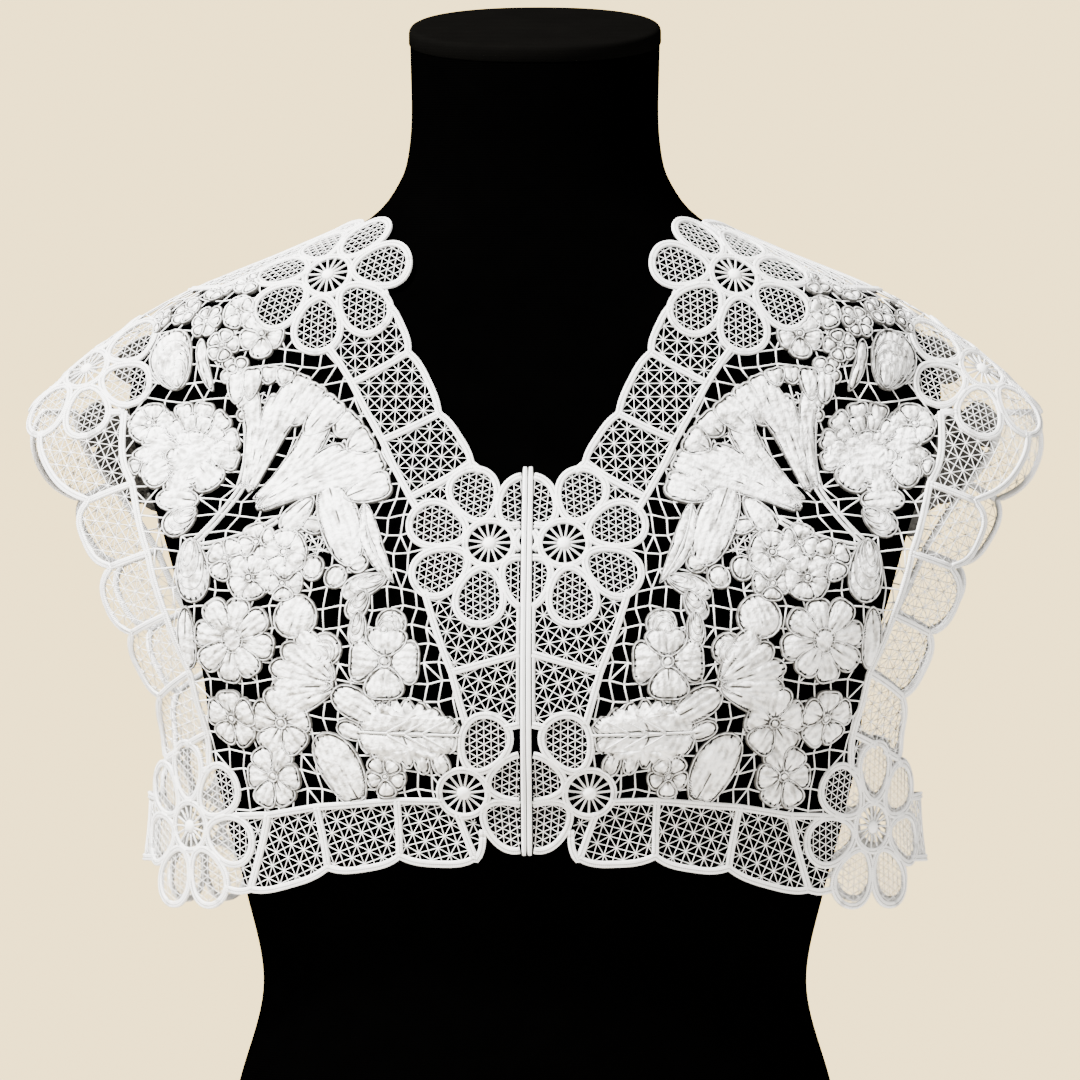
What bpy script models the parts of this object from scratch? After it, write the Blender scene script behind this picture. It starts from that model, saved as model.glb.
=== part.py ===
"""Lace collar on a limbless dress form.

The collar is a short, open-fronted bolero of guipure lace: floral fields edged with net borders,
seven-petal daisies at the corners and two satin cords at the centre front.  It rests on a smooth
black form.  Sizes are in millimetres and are scaled to metres when a mesh is made.

Angles round the body run from 0 at the centre front (-Y) through 90 at the wearer's left (+X) to
180 at the centre back.  Every lace piece is drawn on one half of the cloth and mirrored.
"""

import math

import bpy
import numpy as np
from mathutils import Vector
from mathutils.geometry import delaunay_2d_cdt

MM = 0.001

# --- dress form -------------------------------------------------------------------------------
FORM_SECTIONS = (  # height, half width, depth to the front, depth to the back
    (0, 158, 98, 112),
    (60, 153, 96, 108),
    (123, 136, 90, 92),
    (169, 125, 84, 78),
    (210, 133, 92, 82),
    (239, 141, 104, 88),
    (275, 149, 120, 97),
    (310, 153, 124, 104),
    (345, 163, 118, 110),
    (380, 173, 104, 113),
    (410, 183, 90, 112),
    (435, 187, 82, 107),
    (452, 185, 75, 103),
    (461, 181, 72, 100),
    (469, 175, 70, 97),
    (484, 155, 66, 86),
    (503, 110, 62, 72),
    (519, 77, 57, 62),
    (537, 62, 52, 58),
    (551, 58, 50, 56),
    (600, 57.5, 50, 55),
    (640, 57.5, 50, 55),
)
FORM_ROUNDNESS = 2.2      # exponent of the oval sections
FORM_COLUMNS = 32         # facets round the form
FORM_RINGS = (  # heights
    0, 60, 123, 169, 210, 245, 275, 300, 325, 350, 380,
    410, 435, 452, 462, 470, 487, 504, 520, 540, 570,
)
FORM_SHARP = 40           # degrees between faces that stay a crisp edge
NECK_TOP = 600.0          # height of the neck's cut at its middle
NECK_TILT = 10.9          # degrees the cut leans forward
CAP_THICKNESS = 8.0
CAP_EDGE = 2.2            # rounding of the cap's rim
CAP_OVERHANG = 1.01       # cap against neck
SEAT_GAP = 0.3            # gap between pieces that touch

# --- drape of the lace ------------------------------------------------------------------------
DRAPE_SECTIONS = (  # height, half width, depth to the front, depth to the back
    (200, 180, 104, 100),
    (229, 178, 108, 105),
    (239, 177, 110, 107),
    (275, 176, 119, 112),
    (302, 190, 122, 115),
    (345, 222, 116, 116),
    (380, 234, 102, 115),
    (404, 238, 84, 113),
    (436, 228, 56, 105),
    (445, 218, 50, 101),
    (454, 207, 46, 97),
    (468, 189, 44, 90),
    (486, 157, 44, 78),
    (505, 109, 44, 62),
    (521, 73, 38, 50),
    (545, 54, 32, 40),
)
DRAPE_ROUNDNESS = 2.0
FORM_CLEARANCE = 1.0      # gap kept over the form where the lace rests on it
DRAPE_SOFTNESS = 5.0      # how softly the lace lifts off the form
LACE_THICKNESS = 1.4      # net and bars
CORD_RELIEF = 0.9         # satin cords above the net
MOTIF_EDGE_RELIEF = 0.5   # rim of a flower or leaf above the net
MOTIF_RELIEF = 1.8        # middle of a flower or leaf above the net
STRAIGHT = 0.06           # a seam this near to a straight line counts as straight
SEAM_HALF_GAP = 0.17      # each piece stops this far from a seam
SHARPEST_MITRE = 0.35     # limits how far a seam's corner is drawn in
WELD = 0.01               # points nearer than this are one
BASE_SPACING = 16.5       # points inside the plain inner face
TOP_SPACING = 26.0        # points inside the plain outer face
FOLD_SPACING = 13.0       # points down the centre back
SEAM_LONGEST = 21.0       # straight stretches of a seam are at most this long

# --- borders ----------------------------------------------------------------------------------
# One row for each divider between net cells: the inner end, then the outer end.
NECK_BAND = (  # across, height, across, height
    (104, 478, 74, 492),
    (98, 468, 66, 480),
    (81, 443.5, 55.5, 457.5),
    (66.7, 417.6, 41, 429.5),
    (53.4, 391.4, 26, 407),
    (42, 372, 15, 388),
)
FRONT_BAND = (
    (48, 356, 2.9, 350),
    (33.6, 312.7, 2.9, 321),
    (25.5, 284, 2.9, 289),
)
HEM_BAND = (
    (20, 256, 20, 238),
    (33.6, 254, 24, 228),
    (58.9, 254.3, 58, 229),
    (96, 251, 91, 223.5),
    (118.7, 247, 127, 213),
    (140, 246, 146, 219),
)
ARM_BAND = (
    (187, 430, 219, 430),
    (182, 397.5, 202, 390),
    (174, 366, 191, 360),
    (165.5, 338, 181.5, 330),
    (154.5, 312, 169, 301),
    (147, 284, 166.5, 272),
    (146, 268, 163, 258),
)
NECK_BACK_INNER = ((79, 487), (112, 484), (136, 479), (158, 474), (180, 472))     # angle, height
NECK_BACK_OUTER = ((72, 516), (112, 511), (138, 506), (160, 500), (180, 498))
HEM_BACK_INNER = ((119, 245), (150, 251), (180, 254))
HEM_BACK_OUTER = ((116, 217), (150, 225), (180, 229))
NECK_BACK_CELLS = 5
HEM_BACK_CELLS = 5
SIDE_NET = ((80, 226), (90, 225.4), (100, 226), (100, 253.6), (90, 254.4), (80, 253.6))  # angle, height
SIDE_NET_SHARE = 0.6      # of it that is sunk net
SCALLOP_SMALL = 3.2       # bulge of a cell's outer edge
SCALLOP_ARM = 7.0
SCALLOP_POWER = 4.0
SCALLOP_SHARES = (0.09, 0.35, 0.65, 0.91)
CELL_INSET = 0.16         # net starts this share of a cell in from its cords
OUTER_INSET = 0.10        # and this share in from the scalloped edge, at the cell's corners
CROWN_INSET = 0.06        # and at its middle
FIELD_UNDER = 0.4         # share of a border's width that the field's outline lies under
CUT_HEIGHTS = (205.0, 420.0, 22)      # first, last, count: points down the centre front edge
SHOULDER_RIDGE = (452.0, 470.0, 486.0, 500.0)     # heights where the front field meets the back
FIELD_NECK_CORNER = ((94, 496),)      # across, height
FIELD_SIDE_CORNER = ((156, 240),)
BACK_SIDE_CORNER = (117.5, 239.0)     # angle, height

# --- daisies ----------------------------------------------------------------------------------
PETALS = 7
PETAL_CENTRE = 25.3       # from the daisy's centre
PETAL_HALF_LENGTH = 14.3
PETAL_HALF_WIDTH = 12.9
NET_HALF_LENGTH = 12.4
NET_HALF_WIDTH = 10.2
WHEEL_RADIUS = 12.8
WHEEL_OPEN_RADIUS = 9.6
HUB_RADIUS = 3.4
NET_POINTS = 4            # corners of the sunk net in a petal
NET_CENTRE = 25.8
PETAL_SHARES = (-0.5, -0.3, 0.0, 0.3)  # of a petal's pitch, where its outline has points
OPEN_SIDE_POINTS = 5      # points round a wheel where it has no petals
WHEEL_POINTS = 8
HUB_POINTS = 4
DAISIES = (  # name, angle round the body, height, turn of the first petal
    ("neck_daisy", 61.3, 493.0, 12.0),
    ("front_daisy", 8.7, 370.7, 21.0),
    ("shoulder_daisy", 86.6, 449.8, 36.3),
    ("underarm_daisy_front", 71.0, 241.0, 38.6),
    ("underarm_daisy_back", 109.0, 241.0, 141.4),
)
HEM_WHEEL = (28.5, 258.0) # across, height
HEM_WHEEL_FIRST = 114.0   # turn of its first petal
HEM_WHEEL_PETALS = 3

# --- flowers and leaves -----------------------------------------------------------------------
PETAL_NOTCH = 0.26        # how deep the notches between petals are, as a share of the radius
SPINE = (-0.18, 0.2)      # raised points along a leaf, as shares of its length from its middle
SINGLE_TOP = 12.0         # flowers smaller than this have one raised point
BACK_LEAST_RADIUS = 9.0   # smaller flowers are left off the back
BACK_LEAST_WIDTH = 10.0   # and narrower leaves
MOTIF_REACH = 60.0        # no motif reaches further than this from its middle
FLOWERS = (  # across, height, radius, petals, turn
    (151, 472, 12.5, 6, 0),
    (140.5, 461, 10.5, 5, 30),
    (131, 480, 10, 5, 15),
    (123.7, 466, 11.5, 5, 50),
    (128.5, 432, 6.6, 4, 0),
    (155.5, 413, 24.5, 9, 12),
    (87, 381, 16.5, 6, 20),
    (105.8, 360, 16.5, 5, 0),
    (131.6, 360, 13.5, 5, 40),
    (105.1, 338.2, 10.5, 2, 90),
    (61.2, 334, 7.6, 3, 60),
    (134, 327, 20.5, 8, 11),
    (135.7, 291, 13.5, 5, 90),
    (63.5, 318.7, 17.5, 4, 0),
    (109.5, 291.1, 15.5, 5, 18),
    (113, 265.5, 15.5, 5, 0),
    (63.8, 265.6, 9.8, 5, 54),
)
LEAVES = (  # base across and height, tip across and height, width, shape
    (163.8, 440, 167, 462, 21, "oval"),
    (145.4, 440, 151, 461, 5.5, "leaf"),
    (116.4, 400, 109.5, 449.8, 36, "lily"),
    (121, 386, 80, 419, 40, "lily"),
    (92, 404, 62, 394, 12, "leaf"),
    (71.5, 391.8, 59.5, 352.5, 10, "leaf"),
    (60, 353, 82, 344, 13, "oval"),
    (151, 391, 170, 385, 12, "oval"),
    (151, 371, 153.5, 336, 17, "leaf"),
    (159, 341, 161, 312, 11, "leaf"),
    (149, 309, 153, 288, 8, "leaf"),
    (83.7, 306.3, 114, 316, 12, "oval"),
    (83.7, 306.3, 96, 330, 13, "oval"),
    (64.4, 293, 84.5, 302.5, 14, "oval"),
    (29.5, 284, 78, 286.5, 28, "lobed"),
    (41, 278, 47, 267.5, 8.5, "oval"),
    (87, 283, 76, 251.5, 18, "oval"),
)
BACK_FLOWERS = (
    (28, 447, 16, 7, 10),
    (52, 421, 13, 6, 0),
    (16, 405, 15, 6, 30),
    (40, 388, 13, 5, 0),
    (17, 366, 14, 8, 0),
    (33, 333, 14, 5, 60),
    (17, 263, 10, 5, 54),
)
BACK_LEAVES = (
    (60, 462, 84, 452, 13, "leaf"),
    (72, 440, 92, 426, 13, "oval"),
    (10, 433, 33, 420, 11, "leaf"),
    (47, 372, 34, 350, 11, "leaf"),
    (14, 346, 8, 318, 12, "leaf"),
    (10, 306, 36, 306, 15, "oval"),
)
LEAF_SHAPES = {  # half width at shares of the length from base to tip, for a width of 1
    "leaf": ((0.0, 0.0), (0.38, 0.5), (0.76, 0.36), (1.0, 0.0)),
    "oval": ((0.0, 0.24), (0.5, 0.5), (1.0, 0.22)),
    "lily": ((0.0, 0.0), (0.5, 0.24), (0.84, 0.5), (1.0, 0.36)),
    "lobed": ((0.0, 0.0), (0.25, 0.5), (0.48, 0.32), (0.7, 0.42), (1.0, 0.0)),
}

# --- bars and the gaps between them -----------------------------------------------------------
BAR_SPACING = 10.5
BAR_HALF_WIDTH = 0.85
BAR_WANDER = 1.6          # how far a crossing of bars strays from an even grid
WANDER_ALONG = (12.9898, 78.233)      # spread the straying evenly
WANDER_UP = (39.346, 11.135)
GAP_TRIAL_STEP = 1.3      # spacing of the places tried for a gap's middle
GAP_TRIALS = 3            # places tried on each side of a mesh's middle
GAP_STEPS = 24            # steps from there to the gap's edge
GAP_CORNER = 1.0          # a corner of a gap nearer than this to a straight line is left out
GAP_MARGIN = 0.8          # lace left round a gap beside a motif or border
GAP_LEAST_RADIUS = 2.1
FRONT_GAPS = 54           # gaps cut through on each front
BACK_GAPS = 44            # gaps cut through on each half of the back

# --- centre front cords -----------------------------------------------------------------------
CORD_RADIUS = 1.1
CORD_ACROSS = 1.3
FRONT_EDGE = 2.75         # lace stops here, beside the cord
CORD_TOP = 405.0
CORD_FOOT = 229.5
CORD_POINTS = 18
CORD_SIDES = 6
CORD_LIFT = 1.2           # cord's middle above the lace's inner face


class Profile:
    """A smooth curve through one column of a table of sections, read by height."""

    def __init__(self, heights, values):
        self.x = np.array(heights, float)
        self.y = np.array(values, float)
        step = np.diff(self.x)
        rise = np.diff(self.y) / step
        slope = np.zeros_like(self.y)
        slope[1:-1] = np.where(rise[:-1] * rise[1:] > 0, (rise[:-1] + rise[1:]) / 2, 0)
        slope[0] = rise[0]
        slope[-1] = rise[-1]
        self.slope = slope

    def __call__(self, at):
        at = np.clip(at, self.x[0], self.x[-1])
        i = np.clip(np.searchsorted(self.x, at) - 1, 0, len(self.x) - 2)
        step = self.x[i + 1] - self.x[i]
        t = (at - self.x[i]) / step
        return (
            (2 * t**3 - 3 * t**2 + 1) * self.y[i]
            + (t**3 - 2 * t**2 + t) * step * self.slope[i]
            + (3 * t**2 - 2 * t**3) * self.y[i + 1]
            + (t**3 - t**2) * step * self.slope[i + 1]
        )


class Body:
    """Oval sections stacked by height."""

    def __init__(self, sections, roundness):
        columns = list(zip(*sections))
        self.side = Profile(columns[0], columns[1])
        self.front = Profile(columns[0], columns[2])
        self.back = Profile(columns[0], columns[3])
        self.roundness = roundness

    def radius(self, angle, height):
        """Distance from the axis, for angles in radians."""
        across = np.abs(np.sin(angle))
        along = np.abs(np.cos(angle))
        depth = np.where(np.cos(angle) >= 0, self.front(height), self.back(height))
        power = self.roundness
        return ((across / self.side(height)) ** power + (along / depth) ** power) ** (-1 / power)


FORM = Body(FORM_SECTIONS, FORM_ROUNDNESS)
DRAPE = Body(DRAPE_SECTIONS, DRAPE_ROUNDNESS)

TABLE_ANGLES = np.linspace(0.0, math.pi, 361)
TABLE_HEIGHTS = np.arange(180.0, 561.0, 1.0)


def cloth_table():
    """Inner face of the lace: the form with its clearance, or the free drape where that is wider."""
    step_a = 0.01
    step_h = 0.5
    angle, height = np.meshgrid(TABLE_ANGLES, TABLE_HEIGHTS)
    form = FORM.radius(angle, height)
    turn = (FORM.radius(angle + step_a, height) - FORM.radius(angle - step_a, height)) / (2 * step_a * form)
    lean = (FORM.radius(angle, height + step_h) - FORM.radius(angle, height - step_h)) / (2 * step_h)
    held = form + FORM_CLEARANCE * np.sqrt(1 + turn**2 + lean**2)
    free = DRAPE.radius(angle, height)
    return 0.5 * (held + free + np.sqrt((held - free) ** 2 + DRAPE_SOFTNESS**2))


CLOTH = cloth_table()


def cloth_radius(angle, height):
    """Distance from the axis to the lace's inner face, read between the rows of the table."""
    angle = np.abs(np.asarray(angle, float))
    angle = np.where(angle > math.pi, 2 * math.pi - angle, angle)
    a = np.clip(angle / (TABLE_ANGLES[1] - TABLE_ANGLES[0]), 0, len(TABLE_ANGLES) - 1.001)
    h = np.clip(np.asarray(height, float) - TABLE_HEIGHTS[0], 0, len(TABLE_HEIGHTS) - 1.001)
    i = a.astype(int)
    j = h.astype(int)
    s = a - i
    t = h - j
    low = CLOTH[j, i] * (1 - s) + CLOTH[j, i + 1] * s
    high = CLOTH[j + 1, i] * (1 - s) + CLOTH[j + 1, i + 1] * s
    return low * (1 - t) + high * t


def cloth_point(angle, height):
    """Points of the lace's inner face, as rows of x, y, z."""
    angle = np.asarray(angle, float)
    height = np.asarray(height, float)
    r = cloth_radius(angle, height)
    return np.stack((r * np.sin(angle), -r * np.cos(angle), height + 0 * r), -1)


def cloth_slopes(angle, height):
    """The point, and its change with angle and with height."""
    step_a = 0.012
    step_h = 1.2
    here = cloth_point(angle, height)
    by_angle = (cloth_point(angle + step_a, height) - cloth_point(angle - step_a, height)) / (2 * step_a)
    by_height = (cloth_point(angle, height + step_h) - cloth_point(angle, height - step_h)) / (2 * step_h)
    return here, by_angle, by_height


def cloth_normal(angle, height):
    """Unit normal of the cloth, pointing away from the body."""
    _, by_angle, by_height = cloth_slopes(angle, height)
    normal = np.cross(by_angle, by_height)
    return normal / np.linalg.norm(normal, axis=-1, keepdims=True)


def locate(target, angle, height, rounds=3):
    """Angle and height of the cloth point nearest to each target, from a near first guess."""
    for _ in range(rounds):
        here, by_angle, by_height = cloth_slopes(angle, height)
        off = target - here
        aa = (by_angle * by_angle).sum(-1)
        ah = (by_angle * by_height).sum(-1)
        hh = (by_height * by_height).sum(-1)
        oa = (off * by_angle).sum(-1)
        oh = (off * by_height).sum(-1)
        det = aa * hh - ah * ah
        angle = angle + (hh * oa - ah * oh) / det
        height = height + (aa * oh - ah * oa) / det
    return angle, height


def lay(angle, height, along, up, steps=6):
    """Lay a flat pattern on the cloth round one point, keeping distances from that point."""
    along = np.asarray(along, float)
    up = np.asarray(up, float)
    here, by_angle, by_height = cloth_slopes(np.array([angle]), np.array([height]))
    side = by_angle / np.linalg.norm(by_angle)
    rise = by_height - (by_height * side).sum() * side
    rise /= np.linalg.norm(rise)
    reach = np.hypot(along, up) + 1e-9
    toward = (along[:, None] * side + up[:, None] * rise) / reach[:, None]
    heading = np.where(reach[:, None] > 1e-6, toward, side)
    place = np.repeat(here, len(along), 0)
    angles = np.full(len(along), float(angle))
    heights = np.full(len(along), float(height))
    for _ in range(steps):
        angles, heights = locate(place + heading * (reach / steps)[:, None], angles, heights)
        place = cloth_point(angles, heights)
        normal = cloth_normal(angles, heights)
        heading = heading - (heading * normal).sum(-1)[:, None] * normal
        heading /= np.linalg.norm(heading, axis=-1, keepdims=True)
    return angles, heights


def front_angle(across, height):
    """Angle at which the front of the cloth lies this far across."""
    across = np.asarray(across, float)
    height = np.asarray(height, float) + 0 * across
    low = np.zeros_like(across)
    high = np.full_like(across, math.pi / 2)
    for _ in range(40):
        middle = (low + high) / 2
        wide = cloth_radius(middle, height) * np.sin(middle) > across
        high = np.where(wide, middle, high)
        low = np.where(wide, low, middle)
    return (low + high) / 2


# --- flat chart of half the cloth: one unit is about a millimetre -----------------------------
CHART_PER_RADIAN = 170.0
CHART_HEIGHTS = np.arange(190.0, 546.0, 2.0)
CHART_LINE = 62.0         # degrees round the body of the line that measures the chart's height


def chart_rise_table():
    """Length of cloth up to each chart height, along a line over the shoulder."""
    points = cloth_point(np.full(len(CHART_HEIGHTS), math.radians(CHART_LINE)), CHART_HEIGHTS)
    return np.concatenate(([0.0], np.cumsum(np.linalg.norm(np.diff(points, axis=0), axis=1))))


CHART_RISE = chart_rise_table()


def to_chart(angle, height):
    """Chart coordinates of points on the cloth."""
    return np.stack((np.asarray(angle) * CHART_PER_RADIAN, np.interp(height, CHART_HEIGHTS, CHART_RISE)), -1)


def from_chart(points):
    """Angle and height of chart points."""
    points = np.asarray(points, float)
    return points[:, 0] / CHART_PER_RADIAN, np.interp(points[:, 1], CHART_RISE, CHART_HEIGHTS)


def inside(points, outline):
    """Which points lie inside a closed outline."""
    points = np.asarray(points, float)
    x = points[:, 0][:, None]
    y = points[:, 1][:, None]
    start = np.asarray(outline, float)
    end = np.roll(start, -1, 0)
    crosses = (start[:, 1] > y) != (end[:, 1] > y)
    rise = np.where(np.abs(end[:, 1] - start[:, 1]) < 1e-12, 1e-12, end[:, 1] - start[:, 1])
    at = start[:, 0] + (y - start[:, 1]) * (end[:, 0] - start[:, 0]) / rise
    return ((crosses & (x < at)).sum(1) % 2) == 1


def distance_to(points, outline):
    """Distance from each point to the nearest edge of a closed outline."""
    points = np.asarray(points, float)[:, None, :]
    start = np.asarray(outline, float)[None]
    edge = np.roll(start, -1, 1) - start
    share = ((points - start) * edge).sum(-1) / np.maximum((edge * edge).sum(-1), 1e-12)
    near = start + np.clip(share, 0, 1)[..., None] * edge
    return np.linalg.norm(points - near, axis=-1).min(1)


# --- pattern pieces as chart outlines ---------------------------------------------------------
class Line:
    """A closed line of the pattern: a piece's outline, a relief line or a single raised point."""

    def __init__(self, piece, points, relief, rank=0):
        self.piece = piece
        self.points = np.asarray(points, float)
        self.relief = relief
        self.rank = rank


def chart_front(rows):
    """Chart points of rows of across and height on the front."""
    rows = np.asarray(rows, float)
    return to_chart(front_angle(rows[:, 0], rows[:, 1]), rows[:, 1])


def mirror_to_back(chart):
    """The same chart points on the back half, across the side line."""
    return np.stack((math.pi * CHART_PER_RADIAN - chart[:, 0], chart[:, 1]), -1)


def petal_outer(turn, centre, half_length, half_width):
    """Where a ray at this turn from the petal's axis leaves the petal."""
    a = (math.cos(turn) / half_length) ** 2 + (math.sin(turn) / half_width) ** 2
    b = -2 * centre * math.cos(turn) / half_length**2
    c = (centre / half_length) ** 2 - 1
    return (-b + math.sqrt(max(b * b - 4 * a * c, 0))) / (2 * a)


def daisy_lines(piece, angle, height, turns):
    """Outline, wheel and net petals of a daisy laid on the cloth."""
    pitch = 2 * math.pi / PETALS
    closed = len(turns) == PETALS
    rim = []
    for turn in turns:
        for share in PETAL_SHARES if closed else PETAL_SHARES + (0.5,):
            reach = petal_outer(share * pitch, PETAL_CENTRE, PETAL_HALF_LENGTH, PETAL_HALF_WIDTH)
            rim.append((turn + share * pitch, reach))
    if not closed:
        gap = turns[0] + 2 * math.pi - turns[-1] - pitch
        for k in range(1, OPEN_SIDE_POINTS + 1):
            rim.append((turns[-1] + pitch / 2 + gap * k / (OPEN_SIDE_POINTS + 1), WHEEL_RADIUS))
    rim = np.array(rim)
    lines = [Line(piece, to_chart(*lay(angle, height, rim[:, 1] * np.cos(rim[:, 0]),
                                       rim[:, 1] * np.sin(rim[:, 0]))), CORD_RELIEF)]
    for turn in turns:
        spots = (np.arange(NET_POINTS) + 0.5) * 2 * math.pi / NET_POINTS
        out = NET_CENTRE + NET_HALF_LENGTH * np.cos(spots)
        side = NET_HALF_WIDTH * np.sin(spots)
        along = out * math.cos(turn) - side * math.sin(turn)
        up = out * math.sin(turn) + side * math.cos(turn)
        lines.append(Line(piece, to_chart(*lay(angle, height, along, up)), 0.0, 1))
    for radius, relief, count in ((WHEEL_OPEN_RADIUS, 0.0, WHEEL_POINTS),
                                  (HUB_RADIUS, CORD_RELIEF, HUB_POINTS)):
        spots = np.arange(count) * 2 * math.pi / count
        along = radius * np.cos(spots)
        up = radius * np.sin(spots)
        lines.append(Line(piece, to_chart(*lay(angle, height, along, up)), relief, 1))
    return lines


def cell_edge(start, end, away, bulge):
    """Points between two corners of a cell, swelling away from its net."""
    points = []
    for share in SCALLOP_SHARES:
        swell = bulge * (1 - abs(2 * share - 1) ** SCALLOP_POWER)
        points.append(start + (end - start) * share + away * swell)
    return points


def band_lines(piece, inner, outer, bulge):
    """Net cells between an inner and an outer row of chart points, with a scallop on each."""
    inner = np.asarray(inner, float)
    outer = np.asarray(outer, float)
    rim = []
    lines = []
    for k in range(len(inner) - 1):
        away = (outer[k] + outer[k + 1] - inner[k] - inner[k + 1]) / 2
        away = away / np.linalg.norm(away)
        edge = cell_edge(outer[k], outer[k + 1], away, bulge)
        rim.append(outer[k])
        rim.extend(edge)
        a, b, c, d = inner[k], inner[k + 1], outer[k + 1], outer[k]
        s = CELL_INSET
        corner = [(s, s), (1 - s, s), (1 - s, 1 - OUTER_INSET), (0.5, 1 - CROWN_INSET), (s, 1 - OUTER_INSET)]
        net = [a * (1 - u) * (1 - v) + b * u * (1 - v) + c * u * v + d * (1 - u) * v for u, v in corner]
        lines.append(Line(piece, net, 0.0, 1))
    rim.append(outer[-1])
    middle = []
    for k in range(len(inner) - 1, 0, -1):
        middle.append(inner[k])
        middle.append((inner[k] + inner[k - 1]) / 2)
    middle.append(inner[0])
    return [Line(piece, rim + middle, CORD_RELIEF)] + lines


def spread(control, count):
    """Chart points evenly spaced along a smooth line through rows of angle and height."""
    rows = np.array(control, float)
    fine = np.linspace(rows[0, 0], rows[-1, 0], 120)
    height = Profile(rows[:, 0], rows[:, 1])(fine)
    angle = np.radians(fine)
    points = cloth_point(angle, height)
    length = np.concatenate(([0.0], np.cumsum(np.linalg.norm(np.diff(points, axis=0), axis=1))))
    at = np.interp(np.linspace(0, length[-1], count + 1), length, np.arange(len(fine)))
    return to_chart(np.interp(at, np.arange(len(fine)), angle), np.interp(at, np.arange(len(fine)), height))


def flower_outline(radius, petals, turn):
    """Flat scalloped outline of a flower."""
    points = []
    for k in range(petals * 2):
        reach = radius * (1 if k % 2 else 1 - PETAL_NOTCH)
        spot = math.radians(turn) + math.pi * k / petals
        points.append((reach * math.cos(spot), reach * math.sin(spot)))
    return np.array(points)


def leaf_outline(length, width, shape):
    """Flat outline of a leaf from its base at the origin to its tip."""
    half = LEAF_SHAPES[shape]
    points = [(share * length, -side * width) for share, side in half]
    points += [(share * length, side * width) for share, side in reversed(half) if side]
    return np.array(points)


def motif_lines(piece, flowers, leaves, back):
    """Outlines and raised middles of the flowers and leaves of one panel."""
    lines = []
    rank = 1
    for base_x, base_z, tip_x, tip_z, width, shape in leaves:
        middle_x = (base_x + tip_x) / 2
        middle_z = (base_z + tip_z) / 2
        angle = float(front_angle(np.array([middle_x]), np.array([middle_z]))[0])
        ends = cloth_point(front_angle(np.array([base_x, tip_x]), np.array([base_z, tip_z])),
                           np.array([base_z, tip_z]))
        _, by_angle, by_height = cloth_slopes(np.array([angle]), np.array([middle_z]))
        side = (by_angle / np.linalg.norm(by_angle))[0]
        rise = by_height[0] - (by_height[0] * side).sum() * side
        rise /= np.linalg.norm(rise)
        run = ends[1] - ends[0]
        turn = math.atan2(run @ rise, run @ side)
        length = float(np.linalg.norm(run))
        flat = leaf_outline(length, width, shape) - (length / 2, 0)
        spine = np.array([(share * length, 0.0) for share in SPINE])
        both = []
        for pattern in (flat, spine):
            along = pattern[:, 0] * math.cos(turn) - pattern[:, 1] * math.sin(turn)
            up = pattern[:, 0] * math.sin(turn) + pattern[:, 1] * math.cos(turn)
            both.append(to_chart(*lay(angle, middle_z, along, up)))
        lines.append(Line(piece, both[0], MOTIF_EDGE_RELIEF, rank))
        for point in both[1]:
            lines.append(Line(piece, [point], MOTIF_RELIEF, rank))
        rank += 1
    for x, z, radius, petals, turn in flowers:
        angle = float(front_angle(np.array([x]), np.array([z]))[0])
        flat = flower_outline(radius, petals, turn)
        lines.append(Line(piece, to_chart(*lay(angle, z, flat[:, 0], flat[:, 1])), MOTIF_EDGE_RELIEF, rank))
        tops = np.array([(0.0, 0.0)]) if radius < SINGLE_TOP else flower_outline(radius * 0.5, 4, turn)[::4]
        for point in to_chart(*lay(angle, z, tops[:, 0], tops[:, 1])):
            lines.append(Line(piece, [point], MOTIF_RELIEF, rank))
        rank += 1
    if back:
        for line in lines:
            line.points = mirror_to_back(line.points)
    return lines


def bar_crossing(column, row):
    """A crossing of bars on the chart, strayed a little from an even grid."""
    stray_u = math.sin(column * WANDER_ALONG[0] + row * WANDER_ALONG[1]) * BAR_WANDER
    stray_w = math.sin(column * WANDER_UP[0] + row * WANDER_UP[1]) * BAR_WANDER
    return np.array((column * BAR_SPACING + stray_u, row * BAR_SPACING + stray_w))


def thin_outline(outline):
    """Drop the corners that hardly change an outline."""
    points = list(outline)
    k = 0
    while k < len(points) and len(points) > 4:
        before, here, after = points[k - 1], points[k], points[(k + 1) % len(points)]
        run = after - before
        off = abs(run[0] * (here[1] - before[1]) - run[1] * (here[0] - before[0])) / np.linalg.norm(run)
        if off < GAP_CORNER:
            del points[k]
        else:
            k += 1
    return np.array(points)


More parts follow.
